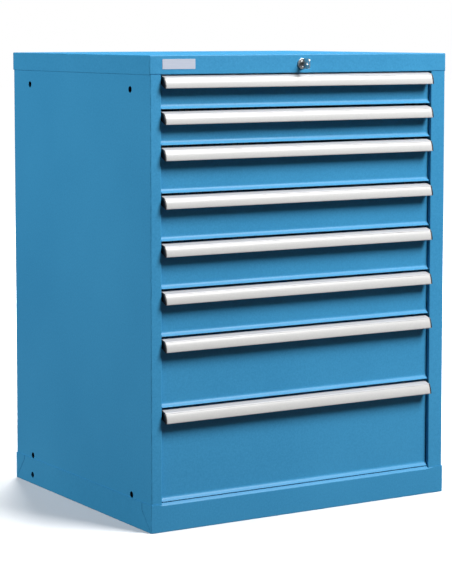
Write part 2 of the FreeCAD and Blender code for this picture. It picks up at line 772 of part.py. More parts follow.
def build_front(drawer):
    """A pan folded from one sheet: top fold, face, lip, foot and closed ends.

    The right end carries the catch, a tongue with a notch for the lock bar's tooth.
    """
    body = new_body(f"drawer_{drawer}_front", bay_foot(drawer))
    top = f"pitch_{drawer} - front_top_gap"
    lip_top = "front_foot_gap + front_lip"
    lip_edge = "drawer_face - front_lip"
    root_two = "sqrt(2)"
    section = new_sketch(body, f"front_section_{drawer}", SIDE, "front_left")
    corners = [
        ("drawer_back", f"{top} - front_top_fold"),
        ("drawer_back", top),
        ("drawer_face", top),
        ("drawer_face", lip_top),
        (lip_edge, "front_foot_gap"),
        ("drawer_back", "front_foot_gap"),
        ("drawer_back", "front_foot_gap + front_foot_fold"),
        ("drawer_back - front_sheet", "front_foot_gap + front_foot_fold"),
        ("drawer_back - front_sheet", "front_foot_gap + front_sheet"),
        (f"{lip_edge} + front_sheet * (1 + {root_two})", "front_foot_gap + front_sheet"),
        ("drawer_face + front_sheet", f"{lip_top} + front_sheet * (1 - {root_two})"),
        ("drawer_face + front_sheet", f"{top} - front_sheet"),
        ("drawer_back - front_sheet", f"{top} - front_sheet"),
        ("drawer_back - front_sheet", f"{top} - front_top_fold"),
    ]
    outline(section, corners)
    pad(body, section, "front_right - front_left", f"front_fold_{drawer}")

    end = [
        ("drawer_back", top),
        ("drawer_face", top),
        ("drawer_face", lip_top),
        (lip_edge, "front_foot_gap"),
        ("drawer_back", "front_foot_gap"),
    ]
    left_end = new_sketch(body, f"front_left_end_{drawer}", SIDE, "front_left")
    outline(left_end, end)
    pad(body, left_end, "front_sheet", f"front_left_plate_{drawer}")

    catch_top = f"pitch_{drawer} - catch_drop"
    catch_foot = f"{catch_top} - catch_height"
    notch_foot = f"{catch_top} - notch_depth"
    catch = [
        ("drawer_back", catch_foot),
        ("drawer_back + catch_length", catch_foot),
        ("drawer_back + catch_length", catch_top),
        ("tooth_back + notch_play", catch_top),
        ("tooth_back + notch_play", notch_foot),
        ("tooth_front - notch_play", notch_foot),
        ("tooth_front - notch_play", catch_top),
        ("drawer_back", catch_top),
    ]
    right_end = new_sketch(body, f"front_right_end_{drawer}", SIDE, "front_right - front_sheet")
    outline(right_end, end + catch)
    pad(body, right_end, "front_sheet", f"front_right_plate_{drawer}")


def on_arc(radius, drop):
    """How far back the handle's round face lies at a height, for an arc of this radius."""
    reach = f"arc_middle + sqrt(({radius}) ^ 2 - (handle_foot_drop - ({drop})) ^ 2)"
    return f"drawer_face - ({reach})"


def build_handle(drawer):
    """A full-width extrusion: fixing leg, sloping top and round face with a channel.

    The face is an arc that ends upright at the lower edge, and the space between
    it and the leg is the finger gap.
    """
    body = new_body(f"drawer_{drawer}_handle", bay_top(drawer))
    inner = "face_radius - channel_depth"
    hollow = "face_radius - handle_wall"
    corners = [
        ("drawer_face", "-front_top_gap"),
        ("drawer_face - handle_shoulder", "-handle_shoulder_drop"),
        (on_arc("face_radius", "channel_top_drop"), "-channel_top_drop"),
        (on_arc(inner, "channel_top_drop"), "-channel_top_drop"),
        (on_arc(inner, "channel_foot_drop"), "-channel_foot_drop"),
        (on_arc("face_radius", "channel_foot_drop"), "-channel_foot_drop"),
        ("drawer_face - handle_reach", "-handle_foot_drop"),
        ("drawer_face - handle_reach + handle_wall", "-handle_foot_drop"),
        (on_arc(hollow, "knee_drop"), "-knee_drop"),
        ("drawer_face - handle_wall", "-front_top_gap - handle_crown"),
        ("drawer_face - handle_wall", "-handle_leg_drop"),
        ("drawer_face", "-handle_leg_drop"),
    ]
    # Seen with the back on the right, the face runs down with its centre on the left.
    arcs = {1: ("face_radius", 1), 3: (inner, 1), 5: ("face_radius", 1), 7: (hollow, -1)}
    section = new_sketch(body, f"handle_section_{drawer}", SIDE, "handle_left")
    outline(section, corners, arcs)
    pad(body, section, "handle_right - handle_left", f"handle_extrusion_{drawer}")


def build_label_strip(drawer):
    """A thin white strip that follows the floor of the handle's channel."""
    body = new_body(f"drawer_{drawer}_label_strip", bay_top(drawer))
    floor = "face_radius - channel_depth + strip_play"
    face = f"{floor} + strip_thickness"
    high = "channel_top_drop + strip_play"
    low = "channel_foot_drop - strip_play"
    corners = [
        (on_arc(face, high), f"-({high})"),
        (on_arc(face, low), f"-({low})"),
        (on_arc(floor, low), f"-({low})"),
        (on_arc(floor, high), f"-({high})"),
    ]
    left = "handle_left + strip_end_gap"
    section = new_sketch(body, f"strip_section_{drawer}", SIDE, left)
    outline(section, corners, {0: (face, 1), 2: (floor, -1)})
    length = "handle_right - handle_left - 2 * strip_end_gap"
    pad(body, section, length, f"strip_extrusion_{drawer}")


def build_end_caps(drawer):
    """Two cheeks that close the handle's ends and follow its outline."""
    body = new_body(f"drawer_{drawer}_end_caps", bay_top(drawer))
    corners = [
        ("drawer_face", "-front_top_gap"),
        ("drawer_face - handle_shoulder", "-handle_shoulder_drop"),
        ("drawer_face - handle_reach", "-handle_foot_drop"),
        ("drawer_face - handle_reach + handle_wall", "-handle_foot_drop"),
        ("drawer_face", "-end_cap_heel_drop"),
    ]
    for side, start in (("left", "handle_left - end_cap_thickness"), ("right", "handle_right")):
        section = new_sketch(body, f"end_cap_{side}_{drawer}", SIDE, start)
        outline(section, corners, {1: ("face_radius", 1)})
        pad(body, section, "end_cap_thickness", f"end_cap_{side}_pad_{drawer}")


# Lock


def build_lock_cylinder():
    """The fixed barrel and its ring, turned about the lock's axis."""
    body = new_body("lock_cylinder")
    section = new_sketch(body, "cylinder_section", SIDE, "opening_middle")
    bore = "lock_height + plug_radius + plug_play"
    ring = "lock_height + ring_radius"
    corners = [
        ("ring_front", bore),
        ("ring_front", f"{ring} - ring_bevel"),
        ("ring_front + ring_bevel", ring),
        ("body_front", ring),
        ("body_front", "lock_height + barrel_radius"),
        ("barrel_end", "lock_height + barrel_radius"),
        ("barrel_end", bore),
    ]
    outline(section, corners)
    turn(body, section, "lock_height", "cylinder_turned")


def turn(body, sketch, height, name):
    """Turns the sketch about a line along Y at this height."""
    line = sketch.addGeometry(
        Part.LineSegment(
            Vector(value("ring_front"), value(height), 0),
            Vector(value("barrel_end"), value(height), 0),
        ),
        True,
    )
    rules = [
        Sketcher.Constraint("DistanceX", -1, 1, line, 1, value("ring_front")),
        Sketcher.Constraint("DistanceY", -1, 1, line, 1, value(height)),
        Sketcher.Constraint("DistanceX", -1, 1, line, 2, value("barrel_end")),
        Sketcher.Constraint("DistanceY", -1, 1, line, 2, value(height)),
    ]
    tie(sketch, rules, ["ring_front", height, "barrel_end", height])
    feature = body.newObject("PartDesign::Revolution", name)
    feature.Profile = sketch
    feature.ReferenceAxis = (sketch, ["Axis0"])
    feature.Angle = 360


def build_lock_plug():
    """The turning core: a keyway in its face and a spigot that carries the cam."""
    body = new_body("lock_plug")
    section = new_sketch(body, "plug_section", SIDE, "opening_middle")
    corners = [
        ("plug_face", "lock_height"),
        ("plug_face", "lock_height + plug_radius - plug_bevel"),
        ("plug_face + plug_bevel", "lock_height + plug_radius"),
        ("barrel_end", "lock_height + plug_radius"),
        ("barrel_end", "lock_height + spigot_radius"),
        ("cam_back", "lock_height + spigot_radius"),
        ("cam_back", "lock_height"),
    ]
    outline(section, corners)
    turn(body, section, "lock_height", "plug_turned")
    keyway = new_sketch(body, "keyway", FRONT, "-plug_face")
    rectangle(
        keyway,
        "opening_middle - key_thickness / 2",
        "opening_middle + key_thickness / 2",
        "lock_height - blade_height / 2",
        "lock_height + blade_height / 2",
    )
    pocket(body, keyway, "blade_length", "keyway_cut", False)


def build_key():
    """A flat key left in the lock: blade, neck and an oblong bow with a hole."""
    body = new_body("key")
    blade_end = "plug_face + blade_length"
    bow_back = "plug_face - neck_length"
    bow_front = "plug_face - neck_length - bow_length"
    corners = [
        (blade_end, "lock_height - blade_height / 2 + blade_tip"),
        (blade_end, "lock_height + blade_height / 2 - blade_tip"),
        (f"{blade_end} - blade_tip", "lock_height + blade_height / 2"),
        (bow_back, "lock_height + blade_height / 2"),
        (bow_back, "lock_height + bow_height / 2"),
        (f"{bow_front} + bow_corner", "lock_height + bow_height / 2"),
        (bow_front, "lock_height + bow_height / 2 - bow_corner"),
        (bow_front, "lock_height - bow_height / 2 + bow_corner"),
        (f"{bow_front} + bow_corner", "lock_height - bow_height / 2"),
        (bow_back, "lock_height - bow_height / 2"),
        (bow_back, "lock_height - blade_height / 2"),
        (f"{blade_end} - blade_tip", "lock_height - blade_height / 2"),
    ]
    profile = new_sketch(body, "key_profile", SIDE, "opening_middle - key_thickness / 2")
    outline(profile, corners, {5: ("bow_corner", 1), 7: ("bow_corner", 1)})
    pad(body, profile, "key_thickness", "key_blank")
    hole = new_sketch(body, "key_hole", SIDE, "opening_middle - key_thickness / 2")
    circle(hole, f"{bow_front} + bow_hole_setback", "lock_height", "bow_hole_radius")
    pocket(body, hole, "key_thickness", "key_hole_cut", True)


def build_lock_cam():
    """A hub on the plug's spigot with a pin that stands back through the lock bar."""
    body = new_body("lock_cam")
    hub = new_sketch(body, "cam_hub", FRONT, "-barrel_end")
    circle(hub, "opening_middle", "lock_height", "cam_radius")
    circle(hub, "opening_middle", "lock_height", "spigot_radius + spigot_play")
    disc = pad(body, hub, "cam_thickness", "cam_disc")
    disc.Reversed = True
    pin = new_sketch(body, "cam_pin", FRONT, "-barrel_end")
    circle(pin, "opening_middle + pin_side", "lock_height + bar_travel / 2", "pin_radius")
    peg = pad(body, pin, "arm_back - barrel_end + pin_end", "cam_peg")
    peg.Reversed = True


def build_lock_bar():
    """A cross arm worked by the cam, welded to an upright strip with riveted teeth.

    At rest it is up, and every tooth stands just above the notch of its catch.
    """
    arm = new_body("lock_bar_arm")
    arm_foot = "lock_height + bar_travel / 2 - bar_arm_height / 2"
    arm_top = "lock_height + bar_travel / 2 + bar_arm_height / 2"
    pin_middle = "opening_middle + pin_side"
    slot_left = f"{pin_middle} - pin_radius - pin_play"
    slot_right = "opening_middle + pin_throw + pin_radius + pin_play"
    slot_foot = "lock_height + bar_travel / 2 - pin_radius - pin_play"
    slot_top = "lock_height + bar_travel / 2 + pin_radius + pin_play"
    plate = new_sketch(arm, "bar_arm", FRONT, "-arm_back")
    rectangle(plate, "opening_middle - cam_radius", "bar_left", arm_foot, arm_top)
    rectangle(plate, slot_left, slot_right, slot_foot, slot_top)
    pad(arm, plate, "bar_sheet", "bar_arm_plate")

    tooth_foot = {n: f"{bay_top(n)} - catch_drop + tooth_lift" for n in DRAWERS}
    foot = f"{tooth_foot[DRAWERS[-1]]} - tooth_height"
    strip = new_body("lock_bar_strip")
    upright = new_sketch(strip, "bar_strip", SIDE, "bar_left")
    rectangle(upright, "bar_front", "bar_front + bar_depth", foot, arm_top)
    pad(strip, upright, "bar_sheet", "bar_strip_plate")

    teeth = new_body("lock_bar_teeth")
    row = new_sketch(teeth, "bar_teeth", FRONT, "-tooth_back")
    for drawer in DRAWERS:
        rectangle(
            row,
            "bar_left - tooth_length",
            "bar_left",
            tooth_foot[drawer],
            f"{tooth_foot[drawer]} + tooth_height",
        )
    pad(teeth, row, "bar_sheet", "bar_tooth_plates")
    join("lock_bar", [arm, strip, teeth])


def build():
    """Every piece of the cabinet, from the carcass to the drawers."""
    build_side_panel("side_panel_left", -1, "left_stile")
    build_side_panel("side_panel_right", 1, "right_stile")
    build_back_panel()
    build_top_cap()
    build_base_tray()
    build_runner_uprights()
    build_fixed_runners()
    build_lock_cylinder()
    build_lock_plug()
    build_key()
    build_lock_cam()
    build_lock_bar()
    for drawer in DRAWERS:
        build_middle_runners(drawer)
        build_tray(drawer)
        build_front(drawer)
        build_handle(drawer)
        build_label_strip(drawer)
        build_end_caps(drawer)
    doc.recompute()


def sub_parts():
    """The pieces that get a file: every body outside a group, and every group."""
    groups = [o for o in doc.Objects if o.TypeId == "Part::Compound"]
    grouped = {link.Name for group in groups for link in group.Links}
    bodies = [o for o in doc.Objects if o.TypeId == "PartDesign::Body"]
    return groups + [body for body in bodies if body.Name not in grouped]


def check(pieces):
    """Stops if an object failed, a cut removed nothing or a shape is not sound."""
    for item in doc.Objects:
        if "Invalid" in item.State or "Error" in item.State:
            raise RuntimeError(f"{item.Name} did not build: {item.State}")
        if item.TypeId == "PartDesign::Pocket":
            if item.Shape.Volume > item.BaseFeature.Shape.Volume - LEAST_CUT:
                raise RuntimeError(f"{item.Name} cuts nothing")
    for piece in pieces:
        if piece.Shape.isNull() or not piece.Shape.isValid():
            raise RuntimeError(f"{piece.Label} has no sound shape")


def write(pieces):
    """One STEP file for each piece, named by its label."""
    os.makedirs("parts", exist_ok=True)
    for piece in pieces:
        piece.Shape.exportStep(f"parts/{piece.Label}.step")
    print(f"{len(pieces)} pieces, {sum(len(p.Shape.Solids) for p in pieces)} solids")


build()
pieces = sub_parts()
check(pieces)
write(pieces)
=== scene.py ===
# %% [markdown]
# A modular drawer cabinet of folded sheet steel, dressed for its picture.
# The frame below already holds every part at its true size and place, and this
# script gives the parts that show their real bends, edges, finishes and light.
# Nothing is moved: the new surfaces are worked out from the boxes of the parts.

# %% Load the fixed frame
import math

import bmesh
import bpy
import numpy as np
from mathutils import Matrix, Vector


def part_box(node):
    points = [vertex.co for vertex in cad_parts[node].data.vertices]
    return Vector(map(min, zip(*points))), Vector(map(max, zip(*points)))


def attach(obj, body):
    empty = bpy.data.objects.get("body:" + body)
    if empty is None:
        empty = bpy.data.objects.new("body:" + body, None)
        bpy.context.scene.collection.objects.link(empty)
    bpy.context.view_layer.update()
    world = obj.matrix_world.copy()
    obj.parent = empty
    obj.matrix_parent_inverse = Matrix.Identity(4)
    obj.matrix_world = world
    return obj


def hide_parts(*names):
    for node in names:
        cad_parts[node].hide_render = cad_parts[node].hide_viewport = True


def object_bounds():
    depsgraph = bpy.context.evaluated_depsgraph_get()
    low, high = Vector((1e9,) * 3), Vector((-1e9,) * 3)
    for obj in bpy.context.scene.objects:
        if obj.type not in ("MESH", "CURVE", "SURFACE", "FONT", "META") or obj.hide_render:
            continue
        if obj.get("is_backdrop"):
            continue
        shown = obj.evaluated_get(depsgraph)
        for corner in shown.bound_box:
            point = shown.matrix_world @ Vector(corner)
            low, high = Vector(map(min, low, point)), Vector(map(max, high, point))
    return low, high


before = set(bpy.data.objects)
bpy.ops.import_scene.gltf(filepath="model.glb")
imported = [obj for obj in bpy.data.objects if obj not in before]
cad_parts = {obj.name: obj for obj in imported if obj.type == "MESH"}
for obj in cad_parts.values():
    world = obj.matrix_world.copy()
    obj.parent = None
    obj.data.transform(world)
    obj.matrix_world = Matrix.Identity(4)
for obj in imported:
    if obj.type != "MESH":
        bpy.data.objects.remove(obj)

CAD_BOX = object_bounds()
for name in ("Cube", "Light", "Camera"):
    if name in bpy.data.objects:
        bpy.data.objects.remove(bpy.data.objects[name])
MM = 0.001
DRAWERS = range(1, 9)
print("parts in the frame:", len(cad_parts))

# %% [markdown]
# Folded sheet steel has one measure that sells it: the bend radius. A sheet of
# 1.5 mm is bent to about 2 mm outside, which catches a thin line of light along
# every edge. A sharp CAD corner can't do that, so the sheets are made again as
# paths whose corners are arcs, carried along the length of the fold.

# %% Read the sizes from the frame
CAP_LOW, CAP_HIGH = np.array(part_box("top_cap"))
BASE_LOW, BASE_HIGH = np.array(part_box("base_tray"))
SHEET = 1.5 * MM
BEND = 2.0 * MM
LEFT_STILE = 25.5 * MM
RIGHT_STILE = 38.5 * MM
STILE_RETURN = 21.5 * MM
STILE_LIP = 15 * MM
REAR_FLANGE = 25 * MM
OUTER_X = CAP_HIGH[0]
BODY_FRONT = CAP_LOW[1]
BODY_REAR = CAP_HIGH[1] - SHEET
SIDE_X = OUTER_X - SHEET
CAP_FOOT = CAP_LOW[2]
TOP = CAP_HIGH[2]
BASE_TOP = 60 * MM
OPENING_LEFT = LEFT_STILE - SIDE_X
OPENING_RIGHT = SIDE_X - RIGHT_STILE
INSIDE = np.array([0, 0, TOP / 2])
print("outside size in mm:", np.round((CAP_HIGH - BASE_LOW) / MM, 1))

# %% [markdown]
# A corner arc comes from one formula. Two unit vectors leave the corner along
# its two runs. The arc's centre lies on their bisector, and its points are the
# two end radii mixed by sines, which keeps them all at the same distance from
# the centre. A short straight piece on each side of every arc keeps the shading
# of the flat sheet flat.

# %% A path with rounded corners
SUPPORT = 0.5 * MM


def unit(vector):
    """The vector divided by its own length."""
    return vector / np.linalg.norm(vector)


def corner_arc(before, corner, after, radius, steps):
    """The arc that rounds one corner, from one tangent point to the other.

    With a and b the unit vectors along the two runs and h half their angle, the
    tangent points lie radius / tan(h) from the corner, and point t is
    centre + (sin((1 - t) w) u + sin(t w) v) / sin(w), for end radii u and v at
    the angle w = pi - 2 h.
    """
    a = unit(before - corner)
    b = unit(after - corner)
    half = math.acos(np.clip(a @ b, -1, 1)) / 2
    centre = corner + unit(a + b) * radius / math.sin(half)
    start = corner + a * radius / math.tan(half)
    end = corner + b * radius / math.tan(half)
    turn = math.pi - 2 * half
    t = np.linspace(0, 1, steps + 1)[:, None]
    arc = np.sin((1 - t) * turn) * (start - centre) + np.sin(t * turn) * (end - centre)
    return np.vstack([start + a * SUPPORT, centre + arc / math.sin(turn), end + b * SUPPORT])


def rounded_path(corners, radii, steps=5, closed=False):
    """Straight runs through the corners, each inner corner turned into an arc.

    radii gives one radius for each corner that is rounded, or 0 to keep it sharp.
    """
    corners = np.array(corners, float)
    count = len(corners)
    inner = range(count) if closed else range(1, count - 1)
    parts = [] if closed else [corners[:1]]
    for number, radius in zip(inner, radii):
        here = corners[number]
        if radius == 0:
            parts.append(here[None])
            continue
        parts.append(corner_arc(corners[number - 1], here, corners[(number + 1) % count], radius, steps))
    if not closed:
        parts.append(corners[-1:])
    return np.vstack(parts)


# %% [markdown]
# Every surface is a grid: point (i, j) is a function of two parameters, and each
# cell of four points is one face. Patches that share an edge give it the same
# points, so merging doubles joins them. The wall of a sheet comes from a
# Solidify modifier, which is applied at once, so that edges can be marked sharp
# on the finished mesh. Last, the normals are weighted by face area, so that a
# flat face stays flat in the light and only its narrow rounded edges shine.

# %% Grids into meshes
MERGE = 0.00001
SHARP = math.radians(32)
EVEN_SHADING = ("WEIGHTED_NORMAL", {"keep_sharp": True})


def grid_faces(rows, columns, closed=False):
    """The four corners of each cell of a grid, counted row by row."""
    index = np.arange(rows * columns).reshape(rows, columns)
    if closed:
        index = np.hstack([index, index[:, :1]])
    return np.stack([index[:-1, :-1], index[1:, :-1], index[1:, 1:], index[:-1, 1:]], -1).reshape(-1, 4)


def rework(mesh, *steps):
    """Opens a mesh for editing, runs each step on it and writes it back."""
    bm = bmesh.new()
    bm.from_mesh(mesh)
    for step in steps:
        step(bm)
    bm.to_mesh(mesh)
    bm.free()
    return mesh


def build_mesh(name, points, faces):
    """A mesh from one array of points and a list of arrays of faces."""
    mesh = bpy.data.meshes.new(name)
    loops = [face for group in faces for face in np.asarray(group).tolist()]
    mesh.from_pydata(points.tolist(), [], loops)
    return rework(
        mesh,
        lambda bm: bmesh.ops.remove_doubles(bm, verts=bm.verts, dist=MERGE),
        lambda bm: bmesh.ops.dissolve_degenerate(bm, edges=bm.edges, dist=MERGE),
    )


def point_outwards(mesh):
    """Turns the faces of a closed mesh to the outside."""
    return rework(mesh, lambda bm: bmesh.ops.recalc_face_normals(bm, faces=bm.faces))


def add_object(name, data):
    """A new object of the scene, at the origin."""
    made = bpy.data.objects.new(name, data)
    bpy.context.scene.collection.objects.link(made)
    return made


def bake_modifiers(piece, modifiers):
    """Gives an object its modifiers, works them out and keeps the result as its mesh."""
    for kind, settings in modifiers:
        modifier = piece.modifiers.new(kind.title(), kind)
        for key, setting in settings.items():
            setattr(modifier, key, setting)
    graph = bpy.context.evaluated_depsgraph_get()
    baked = bpy.data.meshes.new_from_object(piece.evaluated_get(graph))
    piece.modifiers.clear()
    old = piece.data
    piece.data = baked
    bpy.data.meshes.remove(old)
    baked.name = piece.name


def finish_piece(mesh, body, material, replaced=(), modifiers=()):
    """Makes the object, bakes its modifiers, marks its sharp edges and evens out its shading."""
    piece = add_object(mesh.name, mesh)
    if modifiers:
        bake_modifiers(piece, modifiers)
    piece.data.polygons.foreach_set("use_smooth", np.ones(len(piece.data.polygons), bool))
    piece.data.set_sharp_from_angle(angle=SHARP)
    bake_modifiers(piece, [EVEN_SHADING])
    piece.data.materials.clear()
    piece.data.materials.append(material)
    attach(piece, body)
    if replaced:
        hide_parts(*replaced)
    return piece


def wall(thickness):
    """A Solidify modifier that thickens a sheet away from its outer face."""
    return ("SOLIDIFY", {"thickness": thickness, "offset": -1, "use_even_offset": True})


def soft_edges(width, segments=2):
    """A Bevel modifier that rounds the edges of a solid, or the folds of a sheet."""
    limit = {"limit_method": "ANGLE", "angle_limit": SHARP}
    return ("BEVEL", {"width": width, "segments": segments, **limit})


def as_sheet(grid):
    """A grid as a piece of sheet: a list of points, and a list of arrays of faces."""
    return grid.reshape(-1, grid.shape[-1]), [grid_faces(*grid.shape[:2])]


def turned_over(sheet):
    """The same piece of sheet with its faces the other way round."""
    points, faces = sheet
    return points, [group[:, ::-1] for group in faces]


def joined(sheets):
    """Several pieces of sheet as one."""
    points = []
    faces = []
    first = 0
    for own_points, own_faces in sheets:
        points.append(own_points)
        faces += [group + first for group in own_faces]
        first += len(own_points)
    return np.vstack(points), faces


def gather(name, sheets):
    """One mesh from several pieces of sheet."""
    return build_mesh(name, *joined(sheets))


def patches(name, *grids):
    """One mesh from several grids of points."""
    return gather(name, [as_sheet(grid) for grid in grids])


def across(u, v, w):
    """A section in Y and Z, carried along X."""
    return np.stack([w, u, v], -1)


def upright(u, v, w):
    """A section in X and Y, carried along Z."""
    return np.stack([u, v, w], -1)


def lengthwise(u, v, w):
    """A section in X and Z, carried along Y."""
    return np.stack([u, w, v], -1)


def carried(path, start, end, place):
    """A grid of the path's points, each once at start and once at end.

    place turns arrays of (first, second, along) into points.
    """
    along = np.tile([start, end], (len(path), 1))
    first, second = (np.repeat(path[:, [axis]], 2, axis=1) for axis in (0, 1))
    return place(first, second, along)


def prism(name, section, start, end, place):
    """A closed solid: the section's loop carried from start to end, both ends shut."""
    count = len(section)
    points = carried(section, start, end, place).swapaxes(0, 1).reshape(-1, 3)
    ends = [np.arange(count)[None], np.arange(2 * count - 1, count - 1, -1)[None]]
    return point_outwards(build_mesh(name, points, [grid_faces(2, count, closed=True)] + ends))


# %% [markdown]
# Powder coat melts into a skin with fine waves, called orange peel. It shows as
# a faint unrest in the gloss, about a millimetre wide, over slow changes of
# tone across a big sheet. Both come from noise, and several paints use them, so
# they are node groups with their own inputs: built once, set per paint.

# %% Shader tools
def new_group(name, inputs, outputs):
    """An empty node group with inputs (name, value) and outputs, all of them numbers."""
    group = bpy.data.node_groups.new(name, "ShaderNodeTree")
    for label, number in inputs:
        socket = group.interface.new_socket(label, in_out="INPUT", socket_type="NodeSocketFloat")
        socket.default_value = number
    for label in outputs:
        group.interface.new_socket(label, in_out="OUTPUT", socket_type="NodeSocketFloat")
    return group, group.nodes.new("NodeGroupInput"), group.nodes.new("NodeGroupOutput")


def node(tree, kind, links=None, **settings):
    """A node with its settings, and its inputs joined or set by name."""
    made = tree.nodes.new(kind)
    for key, setting in settings.items():
        setattr(made, key, setting)
    for key, source in (links or {}).items():
        if isinstance(source, bpy.types.NodeSocket):
            tree.links.new(source, made.inputs[key])
        else:
            made.inputs[key].default_value = source
    return made


def noise(tree, vector, scale, detail, roughness):
    """Noise over the object's own coordinates, in waves per metre."""
    return node(tree, "ShaderNodeTexNoise", {
        "Vector": vector, "Scale": scale, "Detail": detail, "Roughness": roughness,
    }).outputs["Fac"]


def ramp(tree, source, low, high, to_low, to_high):
    """Maps a value from one range to another, held at both ends."""
    return node(tree, "ShaderNodeMapRange", {
        "Value": source, "From Min": low, "From Max": high, "To Min": to_low, "To Max": to_high,
    }).outputs["Result"]


def calculate(tree, operation, *numbers):
    """The result of one sum over numbers or sockets."""
    return node(tree, "ShaderNodeMath", dict(enumerate(numbers)), operation=operation).outputs[0]


# %% The orange peel group: a height for the bump and an unrest of tone and gloss
SPECK_SCALE = 260.0


def build_paint_skin():
    """Fine waves for the bump. Slow clouds and small specks, added, shift tone and roughness."""
    group, given, made = new_group(
        "paint_skin",
        [("Wave Scale", 700.0), ("Cloud Scale", 2.2), ("Roughness", 0.42), ("Unrest", 0.06)],
        ["Height", "Tone", "Roughness"],
    )
    place = node(group, "ShaderNodeTexCoord").outputs["Object"]
    waves = noise(group, place, given.outputs["Wave Scale"], 2.0, 0.45)
    clouds = noise(group, place, given.outputs["Cloud Scale"], 3.0, 0.55)
    specks = noise(group, place, SPECK_SCALE, 1.0, 0.5)
    swing = calculate(group, "ADD", clouds, specks)
    centred = calculate(group, "SUBTRACT", swing, 1.0)
    unrest, middle = given.outputs["Unrest"], given.outputs["Roughness"]
    group.links.new(waves, made.inputs["Height"])
    group.links.new(ramp(group, swing, 0.7, 1.3, 0.0, 1.0), made.inputs["Tone"])
    group.links.new(calculate(group, "MULTIPLY_ADD", centred, unrest, middle), made.inputs["Roughness"])
    return group


PAINT_SKIN = build_paint_skin()


# %% [markdown]
# Drawn, rolled and extruded metal carries fine lines along its length. A wave
# texture would draw them all alike. Noise whose coordinates are multiplied by a
# small number along one axis is stretched along it, into lines of uneven length
# and depth, and one group with a number for each axis serves every metal.

# %% The streak group: fine lines along one axis
def build_streaks():
    """Noise that is stretched along one axis, as a height and a mask."""
    group, given, made = new_group(
        "streaks",
        [("Along X", 1.0), ("Along Y", 1.0), ("Along Z", 1.0), ("Scale", 900.0)],
        ["Height", "Mask"],
    )
    place = node(group, "ShaderNodeTexCoord").outputs["Object"]
    factors = {axis: given.outputs[f"Along {axis}"] for axis in "XYZ"}
    stretch = node(group, "ShaderNodeCombineXYZ", factors)
    squeezed = node(
        group, "ShaderNodeVectorMath", {0: place, 1: stretch.outputs[0]}, operation="MULTIPLY",
    )
    lines = noise(group, squeezed.outputs[0], given.outputs["Scale"], 3.0, 0.6)
    group.links.new(lines, made.inputs["Height"])
    group.links.new(ramp(group, lines, 0.35, 0.65, 0.0, 1.0), made.inputs["Mask"])
    return group


STREAKS = build_streaks()


# %% Materials: a start for each of them
def new_material(name, **numbers):
    """A material with its Principled shader, and numbers set on its sockets."""
    material = bpy.data.materials.new(name)
    material.use_nodes = True
    shader = material.node_tree.nodes["Principled BSDF"]
    for label, number in numbers.items():
        shader.inputs[label.replace("_", " ")].default_value = number
    return material, material.node_tree, shader


def use_group(tree, group, **numbers):
    """The group as a node in this material, with its own values."""
    made = tree.nodes.new("ShaderNodeGroup")
    made.node_tree = group
    for label, number in numbers.items():
        made.inputs[label.replace("_", " ")].default_value = number
    return made


def bump(tree, shader, height, strength, distance):
    """Joins a height to the shader's normal."""
    made = node(tree, "ShaderNodeBump", {"Strength": strength, "Distance": distance, "Height": height})
    tree.links.new(made.outputs["Normal"], shader.inputs["Normal"])


def between(tree, mask, first, second):
    """A colour that goes from the first to the second with the mask."""
    mix = node(tree, "ShaderNodeMix", data_type="RGBA")
    mix.inputs[6].default_value = (*first, 1.0)
    mix.inputs[7].default_value = (*second, 1.0)
    tree.links.new(mask, mix.inputs[0])
    return mix.outputs[2]


def linear(red, green, blue):
    """A screen colour of 0 to 255 turned into light."""
    screen = np.array([red, green, blue]) / 255
    return tuple(np.where(screen <= 0.04045, screen / 12.92, ((screen + 0.055) / 1.055) ** 2.4).tolist())


# %% [markdown]
# All the finishes are built alike: a colour that moves between two close tones,
# a roughness with some unrest, and a bump so fine that it only shows in the
# gloss. The bump comes from the orange peel, or from the streaks where a finish
# has them. On drawn metal the tone follows the streaks as well.

# %% One way to build a finish
def surface(name, low, high, wave, skin, streaks=None, drawn=False, metallic=0.0, sheen=0.5):
    """A finish between two close tones.

    wave is the bump's strength and its height in metres. skin and streaks hold
    the values for the two groups.
    """
    material, tree, shader = new_material(name, Metallic=metallic, Specular_IOR_Level=sheen)
    film = use_group(tree, PAINT_SKIN, **skin)
    relief = use_group(tree, STREAKS, **streaks) if streaks else film
    tone = relief.outputs["Mask"] if drawn else film.outputs["Tone"]
    tree.links.new(between(tree, tone, low, high), shader.inputs["Base Color"])
    tree.links.new(film.outputs["Roughness"], shader.inputs["Roughness"])
    bump(tree, shader, relief.outputs["Height"], *wave)
    return material


# %% [markdown]
# The blue paint covers nearly all of the cabinet. Its colour is a clear light
# blue with a satin gloss. The two blues that it moves between are close, so the
# eye sees one sheet with some depth and not a pattern.

# %% The paints
PAINT_SHEEN = 0.3
PAINT_WAVE = (0.25, 0.00003)
BLUE = surface(
    "light_blue_powder_coat", linear(55, 140, 188), linear(64, 151, 199), PAINT_WAVE,
    dict(Roughness=0.42), sheen=PAINT_SHEEN,
)
GREY = surface(
    "light_grey_powder_coat", linear(168, 172, 174), linear(178, 182, 183), PAINT_WAVE,
    dict(Roughness=0.45), sheen=PAINT_SHEEN,
)

# %% [markdown]
# The handles are extruded aluminium under white enamel. Extrusion leaves very
# fine lines along the bar, which still show through thin enamel in the gloss. The
# label strips are smooth white plastic, the end caps nearly black with a matt grain.

